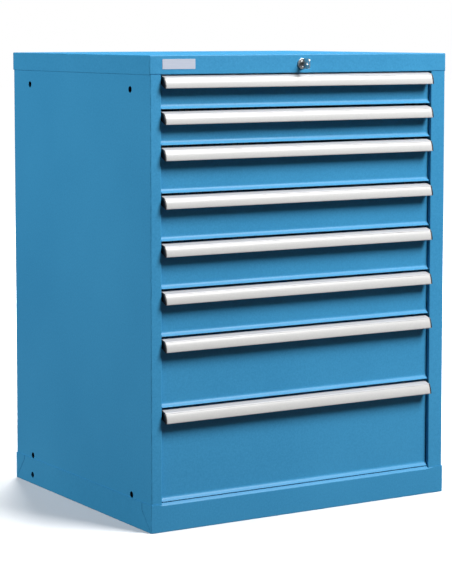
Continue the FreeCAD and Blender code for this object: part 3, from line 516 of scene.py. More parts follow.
# %% Handle, label and end cap finishes
ENAMEL = surface(
    "white_enamel", linear(186, 186, 188), linear(192, 192, 194), (0.2, 0.00002),
    dict(Roughness=0.36, Unrest=0.05), dict(Along_X=0.02, Scale=1400.0),
)
LABEL = surface(
    "label_strip_white", linear(198, 198, 197), linear(203, 203, 202), (0.1, 0.00002),
    dict(Wave_Scale=1500.0, Roughness=0.3, Unrest=0.03),
)
DARK = surface(
    "dark_moulded_plastic", linear(20, 20, 23), linear(27, 26, 29), (0.3, 0.00004),
    dict(Wave_Scale=2200.0, Roughness=0.55, Unrest=0.08),
)

# %% [markdown]
# The runners and the uprights are zinc-plated steel: grey, slightly blue, with
# rolling lines along the strip. The lock is chromed, the key nickel-plated. The
# plate on the cap is brushed, and bare of any mark.

# %% The bare metals
METAL_WAVE = (0.15, 0.00003)
ZINC_TONES = ((0.50, 0.52, 0.54), (0.60, 0.62, 0.64))


def plated_steel(name, low, high, roughness, along, scale=700.0, metallic=1.0):
    """Plated metal with lines along one axis: along gives the three stretches."""
    skin = dict(Cloud_Scale=14.0, Roughness=roughness, Unrest=0.16)
    streaks = dict(zip(("Along_X", "Along_Y", "Along_Z"), along), Scale=scale)
    return surface(name, low, high, METAL_WAVE, skin, streaks, True, metallic)


ZINC = plated_steel("zinc_plated_steel", *ZINC_TONES, 0.38, (1.0, 0.03, 1.0))
ZINC_UPRIGHT = plated_steel("zinc_plated_upright", *ZINC_TONES, 0.4, (1.0, 1.0, 0.03))
CHROME = plated_steel(
    "satin_chrome", (0.80, 0.80, 0.80), (0.88, 0.88, 0.88), 0.34, (1.0, 1.0, 1.0), 400.0,
)
NICKEL = plated_steel(
    "worn_nickel", (0.70, 0.69, 0.66), (0.80, 0.79, 0.75), 0.38, (1.0, 0.1, 1.0), 900.0,
)
SILVER = plated_steel(
    "brushed_plate", (0.50, 0.55, 0.66), (0.54, 0.59, 0.70), 0.45, (0.03, 1.0, 1.0), 900.0, 0.0,
)
print("materials:", len(bpy.data.materials))

# %% [markdown]
# Each side of the cabinet is one sheet with five faces: a flange at the back,
# the side, the stile, a return behind the opening's edge and a small lip. Seen
# from above it is one path with four rounded corners, carried up the height.
# The stile stops under the cap while the side runs on up behind it, so the
# folds at the two ends of the path are carried up to different heights.
#
# The joining holes need a hole in a grid. The cells round each hole are left
# out, and a ring takes their place: point (i, j) of the ring goes from the
# square's edge to the circle as j grows, so the ring's outer points are the very
# points of the grid.

# %% A flat plate with round holes
HOLE_RADIUS = 7 * MM
HOLE_HALF = 12 * MM
HOLE_CELLS = 8


def hole_lines(middles):
    """The grid lines that pass through the square round each hole."""
    steps = np.linspace(-HOLE_HALF, HOLE_HALF, HOLE_CELLS + 1)
    return np.concatenate([middle + steps for middle in middles])


def marks(*parts):
    """All the given places along one direction in order, each of them once."""
    return np.unique(np.round(np.concatenate(parts), 7))


def hole_ring(middle, radius, rings=2):
    """Points from the square round a hole to its circle, rows x columns x 2.

    Going round the square, point k is the k-th grid point of its edge. Its
    partner on the circle lies in the same direction from the middle.
    """
    side = np.linspace(-1, 1, HOLE_CELLS + 1)
    one = np.ones(HOLE_CELLS)
    square = np.vstack([
        np.column_stack([side[:-1], -one]), np.column_stack([one, side[:-1]]),
        np.column_stack([-side[:-1], one]), np.column_stack([-one, -side[:-1]]),
    ]) * HOLE_HALF
    circle = square / np.linalg.norm(square, axis=1, keepdims=True) * radius
    t = np.linspace(0, 1, rings + 1)[:, None, None]
    ring = (1 - t) * square + t * circle + middle
    return np.concatenate([ring, ring[:, :1]], 1)


def holed_plate(us, vs, holes, radius=HOLE_RADIUS):
    """A flat grid with a round hole at each of the places, as a piece of sheet."""
    points, (cells,) = as_sheet(np.stack(np.meshgrid(us, vs, indexing="ij"), -1))
    away = abs(points[cells].mean(1)[:, None] - np.array(holes))
    plate = (points, [cells[(away >= HOLE_HALF).any(2).all(1)]])
    return joined([plate] + [turned_over(as_sheet(hole_ring(hole, radius))) for hole in holes])


# %% The two side panels
HOLE_YS = (BODY_FRONT + 86.5 * MM, BODY_REAR - 84 * MM)
HOLE_ZS = (67 * MM, CAP_FOOT - 32 * MM)
ANCHOR_Z = 21 * MM
FLOOR_TOP = SHEET


def side_plan(hand, opening):
    """The side sheet's outer face seen from above, from the rear flange round to the lip."""
    outside = hand * SIDE_X
    corners = [
        (outside - hand * REAR_FLANGE, BODY_REAR), (outside, BODY_REAR), (outside, BODY_FRONT),
        (opening, BODY_FRONT), (opening, BODY_FRONT + STILE_RETURN),
        (opening + hand * STILE_LIP, BODY_FRONT + STILE_RETURN),
    ]
    return rounded_path(corners, [BEND] * 4)


def side_mesh(name, hand, opening):
    """The folds on both ends of the side, and the flat holed plate between them."""
    path = side_plan(hand, opening)
    rear, front = np.flatnonzero(np.isclose(path[:, 0], hand * SIDE_X))[[0, -1]]
    ys = marks(path[[front, rear], 1], hole_lines(HOLE_YS))
    zs = marks([FLOOR_TOP, CAP_FOOT, TOP - SHEET], hole_lines([ANCHOR_Z, *HOLE_ZS]))
    holes = [(HOLE_YS[1], ANCHOR_Z)] + [(y, z) for y in HOLE_YS for z in HOLE_ZS]
    points, faces = holed_plate(ys, zs, holes)
    plate = (np.insert(points, 0, hand * SIDE_X, axis=1), faces)
    folds = [
        as_sheet(carried(path[:rear + 1], FLOOR_TOP, TOP - SHEET, upright)),
        as_sheet(carried(path[front:], FLOOR_TOP, CAP_FOOT, upright)),
    ]
    if hand > 0:
        return gather(name, [turned_over(fold) for fold in folds] + [plate])
    return gather(name, [*folds, turned_over(plate)])


for label, hand, opening in (("left", -1, OPENING_LEFT), ("right", 1, OPENING_RIGHT)):
    mesh = side_mesh(f"{label}_side_sheet", hand, opening)
    side = finish_piece(mesh, "cabinet", BLUE, [f"side_panel_{label}"], [wall(SHEET)])
    print(side.name, len(side.data.polygons), "faces")


# %% [markdown]
# The cap and the base tray are pans: flat faces that meet in bends. Here the
# faces are laid out sharp and merged along their shared points, and a Bevel
# modifier turns each fold into its radius before Solidify gives the sheet its
# thickness. The front of the cap is flush with the stiles, and its lower edge is
# folded back on top of them, which leaves the fine dark groove under the cap.

# %% The top cap
CAP_RADIUS = 2 * MM
BARREL_HOLE = 9.6 * MM
FOLD_EDGE = SIDE_X - 2 * MM
FOLD_BACK = BODY_FRONT + STILE_RETURN
CAP_INSIDE = np.array([0, 0, CAP_FOOT + 1 * MM])
LOCK_X = (OPENING_LEFT + OPENING_RIGHT) / 2
LOCK_Z = TOP - 20 * MM


def flat(points):
    """Some points and one face that goes round all of them."""
    return np.array(points, float), [np.arange(len(points))[None]]


def rear_wall(y, foot, top):
    """The flat back of a pan that is as wide as the cabinet."""
    return flat([(-OUTER_X, y, foot), (OUTER_X, y, foot), (OUTER_X, y, top), (-OUTER_X, y, top)])


def aim_outwards(mesh, middle):
    """Turns each face of an open sheet away from a point inside the object."""
    normals = np.empty(len(mesh.polygons) * 3)
    centres = np.empty(len(mesh.polygons) * 3)
    mesh.polygons.foreach_get("normal", normals)
    mesh.polygons.foreach_get("center", centres)
    away = ((centres.reshape(-1, 3) - middle) * normals.reshape(-1, 3)).sum(1)
    inwards = set(np.flatnonzero(away < 0).tolist())
    rework(mesh, lambda bm: bmesh.ops.reverse_faces(
        bm, faces=[face for face in bm.faces if face.index in inwards],
    ))


us = marks([-OUTER_X, -FOLD_EDGE, FOLD_EDGE, OUTER_X], hole_lines([LOCK_X]))
zs = marks([CAP_FOOT, TOP], hole_lines([LOCK_Z]))
front_points, front_faces = holed_plate(us, zs, [(LOCK_X, LOCK_Z)], BARREL_HOLE)
front_points = np.insert(front_points, 1, BODY_FRONT, 1)
rear = CAP_HIGH[1]
cap_sheets = [
    (front_points, front_faces),
    flat([(x, BODY_FRONT, TOP) for x in us] + [(OUTER_X, rear, TOP), (-OUTER_X, rear, TOP)]),
    flat([(x, BODY_FRONT, CAP_FOOT) for x in us[1:-1]]
         + [(FOLD_EDGE, FOLD_BACK, CAP_FOOT), (-FOLD_EDGE, FOLD_BACK, CAP_FOOT)]),
    rear_wall(rear, CAP_FOOT, TOP),
]
for hand in (-1, 1):
    edge = [(hand * OUTER_X, BODY_FRONT, z) for z in zs]
    cap_sheets.append(flat(edge + [(hand * OUTER_X, rear, TOP), (hand * OUTER_X, rear, CAP_FOOT)]))
mesh = gather("top_cap_sheet", cap_sheets)
aim_outwards(mesh, CAP_INSIDE)
cap_parts = [soft_edges(CAP_RADIUS, 4), wall(SHEET)]
cap = finish_piece(mesh, "cabinet", BLUE, ["top_cap"], cap_parts)
print(cap.name, len(cap.data.polygons), "faces")

# %% [markdown]
# The base tray wraps round the foot of the sides. Its front and rear flanges turn
# the corner and end in a tab, and each tab meets the side flange in an open seam:
# upright for a short way and then slanting down to the corner. Under the lowest
# drawer the front is bent back at 45 degrees and then lies flat, as a ledge. Past
# the opening the bend runs out in a narrow spur on each stile.

# %% The base tray
BASE_RADIUS = 1.2 * MM
LEDGE_BEND = BASE_TOP - 3.5 * MM
LEDGE_LEFT = OPENING_LEFT + 0.5 * MM
LEDGE_RIGHT = OPENING_RIGHT - 0.5 * MM
BEVEL_SIZE = 6 * MM
LEDGE_BACK = BASE_LOW[1] + 23 * MM
SPUR_LEFT = 8 * MM
SPUR_RIGHT = 17 * MM
SEAM = 1.3 * MM
SEAM_FOOT = 3 * MM
FRONT_TAB = 40 * MM
FRONT_TAB_EDGE = 16 * MM
REAR_TAB = 43 * MM
REAR_TAB_EDGE = 9 * MM
TAB_BORDER = 5 * MM
BASE_INSIDE = np.array([0, 0, BASE_TOP - 8 * MM])
BASE_PLAY = 0.05 * MM


def tab_wall(x, end, inward, tab, edge, border, border_zs):
    """The side flange near one end: two faces with an open seam between them.

    The seam is a narrow strip: upright from the top down to the tab's edge, and
    then slanting down to a little way from the corner.
    """
    knee = BASE_TOP - edge
    near = end + inward * tab
    far = near + inward * SEAM
    low_near = (x, end + inward * SEAM_FOOT, SEAM_FOOT)
    low_far = (x, end + inward * (SEAM_FOOT + SEAM), SEAM_FOOT)
    outer = [(x, end, 0), (x, end, BASE_TOP), (x, near, BASE_TOP), (x, near, knee), low_near]
    inner = [low_near, low_far, (x, far, knee), (x, far, BASE_TOP)]
    inner += [(x, border, z) for z in border_zs[::-1]] + [(x, end, 0)]
    return [flat(outer), flat(inner)]


base_front = BASE_LOW[1]
base_rear = BASE_HIGH[1]
wall_zs = marks([0, BASE_TOP], hole_lines([ANCHOR_Z]))
front_border = base_front + FRONT_TAB + TAB_BORDER
rear_border = base_rear - REAR_TAB - TAB_BORDER
base_sheets = []
for hand in (-1, 1):
    x = hand * OUTER_X
    ys = marks([front_border, rear_border], hole_lines([HOLE_YS[1]]))
    side_points, side_faces = holed_plate(ys, wall_zs, [(HOLE_YS[1], ANCHOR_Z)])
    base_sheets.append((np.insert(side_points, 0, x, axis=1), side_faces))
    base_sheets += tab_wall(x, base_front, 1, FRONT_TAB, FRONT_TAB_EDGE, front_border, wall_zs)
    base_sheets += tab_wall(x, base_rear, -1, REAR_TAB, REAR_TAB_EDGE, rear_border, wall_zs)
base_sheets.append(rear_wall(base_rear, 0, BASE_TOP))
floor_line = [front_border, *ys[1:-1], rear_border]
base_sheets.append(flat(
    [(-OUTER_X, y, 0) for y in (base_front, *floor_line, base_rear)]
    + [(OUTER_X, y, 0) for y in (base_rear, *floor_line[::-1], base_front)]
))
front_top = [
    (-OUTER_X, BASE_TOP), (LEDGE_LEFT - SPUR_LEFT, BASE_TOP), (LEDGE_LEFT, LEDGE_BEND),
    (LEDGE_RIGHT, LEDGE_BEND), (LEDGE_RIGHT + SPUR_RIGHT, BASE_TOP), (OUTER_X, BASE_TOP),
    (OUTER_X, 0), (-OUTER_X, 0),
]
base_sheets.append(flat([(x, base_front, z) for x, z in front_top]))
bevel_back = base_front + BEVEL_SIZE
ledge_top = LEDGE_BEND + BEVEL_SIZE
lap_back = base_front + SHEET
lap_top = LEDGE_BEND + SHEET
base_sheets.append(flat([
    (LEDGE_LEFT, base_front, LEDGE_BEND), (LEDGE_RIGHT, base_front, LEDGE_BEND),
    (LEDGE_RIGHT, lap_back, lap_top), (LEDGE_RIGHT, bevel_back, ledge_top),
    (LEDGE_LEFT, bevel_back, ledge_top), (LEDGE_LEFT, lap_back, lap_top),
]))
base_sheets.append(flat([
    (LEDGE_LEFT, bevel_back, ledge_top), (LEDGE_RIGHT, bevel_back, ledge_top),
    (LEDGE_RIGHT, LEDGE_BACK, ledge_top), (LEDGE_LEFT, LEDGE_BACK, ledge_top),
]))
for edge, tip in ((LEDGE_LEFT, LEDGE_LEFT - SPUR_LEFT), (LEDGE_RIGHT, LEDGE_RIGHT + SPUR_RIGHT)):
    spur = [(tip, base_front, BASE_TOP), (edge, base_front, LEDGE_BEND), (edge, lap_back, lap_top)]
    base_sheets.append(flat(spur))
mesh = gather("base_tray_sheet", base_sheets)
aim_outwards(mesh, BASE_INSIDE)
base_parts = [soft_edges(BASE_RADIUS, 3), wall(SHEET - BASE_PLAY)]
base = finish_piece(mesh, "cabinet", BLUE, ["base_tray"], base_parts)
print(base.name, len(base.data.polygons), "faces")

# %% [markdown]
# The back is a plain sheet with both upright edges folded forward. It could be a
# flat plate, but then its edges would be sharp. So it is a path seen from above
# and carried up its height, like the sides.

# %% The back panel
BACK_LOW, BACK_HIGH = np.array(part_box("back_panel"))
back_plan = rounded_path([
    (BACK_LOW[0], BACK_LOW[1]), (BACK_LOW[0], BACK_HIGH[1]),
    (BACK_HIGH[0], BACK_HIGH[1]), (BACK_HIGH[0], BACK_LOW[1]),
], [BEND, BEND])
mesh = patches("back_sheet", carried(back_plan, BACK_LOW[2], BACK_HIGH[2], upright))
aim_outwards(mesh, INSIDE)
back = finish_piece(mesh, "cabinet", BLUE, ["back_panel"], [wall(SHEET)])
print("back panel:", len(back.data.polygons), "faces")

# %% [markdown]
# The back panel is held by a row of blind rivets down each rear flange. A rivet
# head is a shallow dome: its radius falls with a cosine while its height grows
# with a sine, so all the heads are small grids turned about their own middles.

# %% Rivets down the rear flanges
RIVET_RADIUS = 4.5 * MM
RIVET_RISE = 1.3 * MM
RIVET_MARGIN = 60 * MM
RIVET_ZS = np.linspace(BASE_TOP + RIVET_MARGIN, CAP_FOOT - RIVET_MARGIN, 7)
RIVET_XS = (REAR_FLANGE / 2 - SIDE_X, SIDE_X - REAR_FLANGE / 2)


def rivet_head(x, z):
    """A dome: radius R cos t, height h sin t, with t from 0 at the rim to 90 degrees."""
    t = np.linspace(0, math.pi / 2, 6)[:, None]
    turn = np.linspace(0, 2 * math.pi, 25)[None, :]
    radius = RIVET_RADIUS * np.cos(t)
    out = BODY_REAR + RIVET_RISE * np.sin(t) + 0 * turn
    return np.stack([x + radius * np.cos(turn), out, z + radius * np.sin(turn)], -1)


mesh = patches("rear_rivets", *[rivet_head(x, z) for x in RIVET_XS for z in RIVET_ZS])
aim_outwards(mesh, INSIDE)
rivets = finish_piece(mesh, "cabinet", BLUE)
print(len(RIVET_XS) * len(RIVET_ZS), "rivets:", len(rivets.data.polygons), "faces")

# %% [markdown]
# Each drawer front is a pan of thinner sheet. From its top fold it drops down the
# face, turns out at 45 degrees into a lip that catches the light, and folds back
# underneath. A bevel on sharp folds would tear the thin lip, so the folds are
# rounded in the section, which is then carried along. A plate closes each end.

# %% The drawer fronts
FRONT_SHEET = 1.2 * MM
PAN_DEPTH = 14.5 * MM
FOLD_RADIUS = 1.6 * MM
LIP_RADIUS = 9 * MM
TIP_RADIUS = 0.8 * MM
INNER_RADIUS = FOLD_RADIUS - FRONT_SHEET
FRONT_RADII = [FOLD_RADIUS, FOLD_RADIUS, LIP_RADIUS, TIP_RADIUS, FOLD_RADIUS]
INNER_RADII = [INNER_RADIUS, INNER_RADIUS, LIP_RADIUS + FRONT_SHEET, 0, INNER_RADIUS]
LIP = 7.5 * MM
TOP_FOLD = 18.5 * MM
FOOT_FOLD = 14.5 * MM
PAN_EDGE = 0.4 * MM
END_EDGE = 0.3 * MM
CATCH_EDGE = 0.2 * MM
CATCH_DROP = 8.5 * MM
CATCH_HEIGHT = 14 * MM
CATCH_LAP = 2 * MM
CATCH_PLAY = 0.1 * MM
TOOTH_SETBACK = 29 * MM
TOOTH_SHEET = 2 * MM
NOTCH_PLAY = 2.5 * MM
NOTCH_DEPTH = 9 * MM


def front_box(drawer):
    """The front's two corners, and where its pan's face and back lie along Y."""
    low, high = np.array(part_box(f"drawer_{drawer}_front"))
    face = low[1] + LIP
    return low, high, face, face + PAN_DEPTH


def inset(path, distance):
    """An open path moved sideways.

    Corner i slides by distance (n + m) / (1 + n.m), with n and m the normals of
    the runs before and after it.
    """
    sides = np.diff(path, axis=0)
    sides /= np.linalg.norm(sides, axis=1, keepdims=True)
    normals = np.column_stack([-sides[:, 1], sides[:, 0]])
    before = np.vstack([normals[:1], normals])
    after = np.vstack([normals, normals[-1:]])
    return path + distance * (before + after) / (1 + (before * after).sum(axis=1, keepdims=True))


def front_meshes(drawer):
    """The pan's folded sheet, and the two plates that close its ends."""
    low, high, face, back = front_box(drawer)
    foot, top = low[2], high[2]
    profile = np.array([
        (back, top - TOP_FOLD), (back, top), (face, top), (face, foot + LIP),
        (low[1], foot), (back, foot), (back, foot + FOOT_FOLD),
    ])
    outside = rounded_path(profile, FRONT_RADII)
    inside = rounded_path(inset(profile, FRONT_SHEET), INNER_RADII)
    loop = np.vstack([outside, inside[::-1]])
    ends = [
        prism(f"drawer_{drawer}_{side}_end", inside, x, x + FRONT_SHEET, across)
        for side, x in (("left", low[0]), ("right", high[0] - FRONT_SHEET))
    ]
    return prism(f"drawer_{drawer}_pan", loop, low[0], high[0], across), ends


def catch_mesh(drawer):
    """The tongue on the pan's right end, with a notch for the lock bar's tooth."""
    low, high, face, back = front_box(drawer)
    root = back - CATCH_LAP
    top = high[2] - CATCH_DROP
    foot = top - CATCH_HEIGHT
    floor = top - NOTCH_DEPTH
    tooth = BODY_FRONT + TOOTH_SETBACK
    notch_front = tooth - NOTCH_PLAY
    notch_back = tooth + TOOTH_SHEET + NOTCH_PLAY
    section = np.array([
        (root, foot), (high[1], foot), (high[1], top), (notch_back, top),
        (notch_back, floor), (notch_front, floor), (notch_front, top), (root, top),
    ])
    end = high[0] - CATCH_PLAY
    return prism(f"drawer_{drawer}_catch", section, high[0] - FRONT_SHEET, end, across)


for drawer in DRAWERS:
    body = f"drawer_{drawer}"
    sheet, ends = front_meshes(drawer)
    pan = finish_piece(sheet, body, BLUE, [f"{body}_front"], [soft_edges(PAN_EDGE)])
    for end in ends:
        finish_piece(end, body, BLUE, (), [soft_edges(END_EDGE)])
    finish_piece(catch_mesh(drawer), body, BLUE, (), [soft_edges(CATCH_EDGE)])
print("one pan:", len(pan.data.polygons), "faces")

# %% [markdown]
# The handle is an extrusion as wide as the drawer. Its face is one arc of about
# 42 mm radius that ends upright at the lower edge, with a channel in it for the
# label strip, and a rounded shoulder. A fine deep groove under the shoulder parts
# the strip from the metal. The fingers go up behind the face from below.

# %% Handles, label strips and end caps
REACH = 22 * MM
SHOULDER = 15.5 * MM
SHOULDER_DROP = 6 * MM
FOOT_DROP = 28.5 * MM
TOP_DROP = 1.5 * MM
WALL = 2.2 * MM
HEEL = 0.8 * MM
SHOULDER_ROUND = 1 * MM
KNEE_DROP = SHOULDER_DROP + 2.64 * MM
LEG_TOP = TOP_DROP + 2.86 * MM
LEG_FOOT = 14 * MM
SWELL = REACH - SHOULDER
RISE = FOOT_DROP - SHOULDER_DROP
ARC_RADIUS = (RISE ** 2 + SWELL ** 2) / (2 * SWELL)
STRIP_TOP = SHOULDER_DROP + 2.4 * MM
CHANNEL_TOP = STRIP_TOP - 0.7 * MM
GROOVE_DEPTH = 1.7 * MM
CHANNEL_FOOT = FOOT_DROP - 2.2 * MM
CHANNEL_DEPTH = 1 * MM
STRIP = 0.8 * MM
STRIP_MARGIN = 1 * MM
PLAY = 0.1 * MM
CHEEK = 2.5 * MM
CHEEK_CORNER = 0.6 * MM
CHEEK_FOOT = 18 * MM
CHEEK_EDGE = 0.35 * MM


def on_arc(radius, drops):
    """How far the handle's round face stands out at each drop below the bay's top."""
    return REACH - ARC_RADIUS + np.sqrt(radius ** 2 - (FOOT_DROP - drops) ** 2)


def arc_points(radius, start, end, count):
    """Points (reach, drop) along the face's arc, or along one inside it."""
    drops = np.linspace(start, end, count)
    return np.column_stack([on_arc(radius, drops), drops])


def handle_section():
    """The extrusion's outline as (reach, drop), with its outer corners rounded."""
    top = np.array([(0, TOP_DROP), (SHOULDER, SHOULDER_DROP)])
    first = arc_points(ARC_RADIUS, SHOULDER_DROP + HEEL, CHANNEL_TOP, 3)
    groove = arc_points(ARC_RADIUS - GROOVE_DEPTH, CHANNEL_TOP, STRIP_TOP, 2)
    floor = arc_points(ARC_RADIUS - CHANNEL_DEPTH, STRIP_TOP, CHANNEL_FOOT, 14)
    last = arc_points(ARC_RADIUS, CHANNEL_FOOT, FOOT_DROP - HEEL, 3)
    hollow = arc_points(ARC_RADIUS - WALL, FOOT_DROP - HEEL, KNEE_DROP, 12)
    leg = [(WALL, LEG_TOP), (WALL, LEG_FOOT), (0, LEG_FOOT)]
    shoulder = corner_arc(top[0], top[1], first[0], SHOULDER_ROUND, 4)
    middle = (last[-1] + hollow[0]) / 2
    half = (last[-1, 0] - hollow[0, 0]) / 2
    turn = np.linspace(0, math.pi, 8)[1:-1, None]
    heel = middle + np.hstack([half * np.cos(turn), HEEL * np.sin(turn)])
    return np.vstack([top[:1], shoulder, first, groove, floor, last, heel, hollow, leg])


def strip_section():
    """The label strip's outline: two arcs, one on the channel's floor."""
    floor = ARC_RADIUS - CHANNEL_DEPTH + PLAY
    high, low = STRIP_TOP, CHANNEL_FOOT - PLAY
    return np.vstack([arc_points(floor + STRIP, high, low, 14), arc_points(floor, low, high, 14)])


def cheek_section():
    """The end cap's outline: it follows the handle and closes the finger gap."""
    face = arc_points(ARC_RADIUS, SHOULDER_DROP + HEEL, FOOT_DROP - CHEEK_CORNER, 14)
    return np.vstack([
        [(0, TOP_DROP), (SHOULDER - SHOULDER_ROUND, SHOULDER_DROP - PLAY)], face,
        [(REACH - CHEEK_CORNER, FOOT_DROP), (REACH - WALL, FOOT_DROP), (0, CHEEK_FOOT)],
    ])


def hang(section, face, top):
    """The outline moved to its drawer: (reach, drop) becomes (y, z)."""
    return np.column_stack([face - section[:, 0], top - section[:, 1]])


for drawer in DRAWERS:
    body = f"drawer_{drawer}"
    low, high = np.array(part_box(f"{body}_handle"))
    left, right, face, top = low[0], high[0], high[1], high[2] + TOP_DROP
    mesh = prism(f"{body}_bar_handle", hang(handle_section(), face, top), left, right, across)
    handle = finish_piece(mesh, body, ENAMEL, [f"{body}_handle"])
    strip = hang(strip_section(), face, top)
    mesh = prism(f"{body}_label", strip, left + STRIP_MARGIN, right - STRIP_MARGIN, across)
    finish_piece(mesh, body, LABEL, [f"{body}_label_strip"])
    cheek = hang(cheek_section(), face, top)
    for label, start in (("left", left - CHEEK), ("right", right)):
        mesh = prism(f"{body}_{label}_cheek", cheek, start, start + CHEEK, across)
        finish_piece(mesh, body, DARK, [f"{body}_end_caps"], [soft_edges(CHEEK_EDGE)])
print("one handle:", len(handle.data.polygons), "faces")

# %% [markdown]
# A tray is one folded box with a rim along each side and upright slots in its
# walls, which would hold partitions. Leaving cells out of a grid makes the slots
# for nothing, where a boolean would cut hundreds of them. A C-shaped rail hangs
# on each side of the tray. The middle and the fixed runners keep their shape from
# the frame: they are straight rolled sections, and only their finish is missing.

# %% The trays and their rails
TRAY_SHEET = 1.2 * MM
TRAY_BEND = 1.5 * MM
RIM = 5 * MM
RAIL_HEIGHT = 36 * MM
RAIL_DEPTH = 16 * MM
RAIL_SHEET = 2 * MM
RAIL_BEND = 2.5 * MM
RAIL_RISE = 10.5 * MM
RAIL_FRONT = BODY_FRONT + 39.5 * MM
RAIL_LENGTH = 590 * MM
SLOT_PITCH = 17 * MM
SLOT_WIDTH = 3 * MM
SLOT_MARGIN = 12 * MM
SLOT_FOOT = 12 * MM
SLOT_HEAD = 3 * MM
SLOT_ROW = 45 * MM
SLOT_GAP = 6 * MM


def slotted_wall(start, end, foot, top):
    """A wall's grid of points and its faces, without the cells that are slots.

    Those are the cells whose row and column both count as odd.
    """
    length = np.linalg.norm(end - start)
    count = int((length - 2 * SLOT_MARGIN) // SLOT_PITCH)
    middles = (length - (count - 1) * SLOT_PITCH) / 2 + np.arange(count) * SLOT_PITCH
    edges = [[0, length], middles - SLOT_WIDTH / 2, middles + SLOT_WIDTH / 2]
    shares = np.sort(np.concatenate(edges)) / length
    rows = max(1, round((top - foot - SLOT_FOOT - SLOT_HEAD) / SLOT_ROW))
    steps = np.linspace(foot + SLOT_FOOT, top - SLOT_HEAD, rows + 1)
    heights = np.sort(np.concatenate([[foot, top], steps[:-1], steps[1:] - SLOT_GAP]))
    plan = start + (end - start) * shares[:, None]
    grid = np.concatenate([
        np.repeat(plan[:, None], len(heights), axis=1), np.tile(heights, (len(plan), 1))[..., None],
    ], -1)
    column, row = np.indices((len(shares) - 1, len(heights) - 1)).reshape(2, -1)
    return grid, grid_faces(*grid.shape[:2])[(column % 2 == 0) | (row % 2 == 0)]


def tray_mesh(drawer, left, right, front, rear, foot, top):
    """Four slotted walls, a floor that shares their lowest points and a rim along each side."""
    corners = np.array([(left, front), (right, front), (right, rear), (left, rear)])
    sheets = []
    foot_lines = []
    for number, out in enumerate((0, RIM, 0, -RIM)):
        grid, faces = slotted_wall(corners[number], corners[(number + 1) % 4], foot, top)
        sheets.append((grid.reshape(-1, 3), [faces]))
        foot_lines.append(grid[:-1, 0])
        if out:
            rim = np.stack([grid[:, -1], grid[:, -1] + (out, 0, 0)], 1)
            sheets.append(as_sheet(rim))
    sheets.append(flat(np.vstack(foot_lines)))
    return gather(f"drawer_{drawer}_tray_box", sheets)


def rail_path(back, inward, low):
    """A C-shaped rail seen from the front, open on its inner side."""
    mouth = back + inward * RAIL_DEPTH
    return rounded_path([
        (mouth, low), (back, low), (back, low + RAIL_HEIGHT), (mouth, low + RAIL_HEIGHT),
    ], [RAIL_BEND, RAIL_BEND])


for drawer in DRAWERS:
    body = f"drawer_{drawer}"
    low, high = np.array(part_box(f"{body}_tray"))
    front_low, _, _, front_back = front_box(drawer)
    left = low[0] + RAIL_DEPTH
    right = high[0] - RAIL_DEPTH
    mesh = tray_mesh(drawer, left, right, front_back, high[1], low[2], high[2])
    aim_outwards(mesh, np.array([(left + right) / 2, (low[1] + high[1]) / 2, high[2] - 2 * MM]))
    tray_parts = [soft_edges(TRAY_BEND, 3), wall(TRAY_SHEET)]
    tray = finish_piece(mesh, body, GREY, [f"{body}_tray"], tray_parts)
    rail_foot = front_low[2] + RAIL_RISE
    for label, back, inward in (("left", left, -1), ("right", right, 1)):
        path = rail_path(back, inward, rail_foot)
        grid = carried(path, RAIL_FRONT, RAIL_FRONT + RAIL_LENGTH, lengthwise)
        mesh = patches(f"{body}_{label}_tray_rail", grid)
        mouth = back + inward * RAIL_DEPTH
        aim_outwards(mesh, np.array([mouth, 0, rail_foot + RAIL_HEIGHT / 2]))
        finish_piece(mesh, body, ZINC, (), [wall(RAIL_SHEET)])
print("the lowest tray:", len(tray.data.polygons), "faces")

# %% [markdown]
# The runners, the uprights, the lock bar and the cam are of rolled or stamped
# steel. They could be made again as paths, but the frame's own meshes are exact
# and little of them shows, so they keep those and only get a finish.

# %% Finishes for the parts that keep their shape
KEPT = {
    "fixed_runners": (ZINC, "zinc_steel"),
    "runner_uprights": (ZINC_UPRIGHT, "zinc_steel"),
    "lock_bar": (ZINC_UPRIGHT, "zinc_steel"),
    "lock_cam": (ZINC, "zinc_steel"),
    **{f"drawer_{n}_middle_runners": (ZINC, "zinc_steel") for n in DRAWERS},
}
for name, (material, slot_name) in KEPT.items():
    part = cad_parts[name]
    part.data.materials.clear()
    part.data.materials.append(material)
print("parts that keep their shape:", len(KEPT))

# %% [markdown]
# The lock is turned on a lathe: a chromed ring with a rounded front edge, and a
# plug set a little back in it, with a keyway. Both are one outline turned about
# the lock's axis. The key is stamped from 2 mm sheet and stands upright. The
# keyway and the hole in the key's bow go into finished solids, so a Boolean cuts
# them, and its punch is removed from the scene once the cut is baked.

# %% The ring and the plug
TURN_STEPS = 64
RING_FRONT = BODY_FRONT - 3 * MM
RING_RADIUS = 11.5 * MM
RING_EDGES = [0.4 * MM, 1.2 * MM, 0, 0, 0, 0]
BARREL_RADIUS = 9.5 * MM
BARREL_END = BODY_FRONT + 18 * MM
BORE = 6.8 * MM
PLUG_FACE = RING_FRONT + 0.6 * MM
PLUG_RADIUS = 6.5 * MM
PLUG_EDGE = 0.5 * MM
PLUG_EDGE_BACK, PLUG_EDGE_IN = 0.2 * MM, 0.15 * MM
SPIGOT_RADIUS = 2 * MM
SPIGOT_END = BARREL_END + 2.5 * MM
KEY_THICKNESS = 2 * MM
BLADE_HALF = 3.7 * MM
KEYWAY_PLAY = 0.1 * MM
KEYWAY_DEPTH = 16.2 * MM
PUNCH_LEAD = 1 * MM


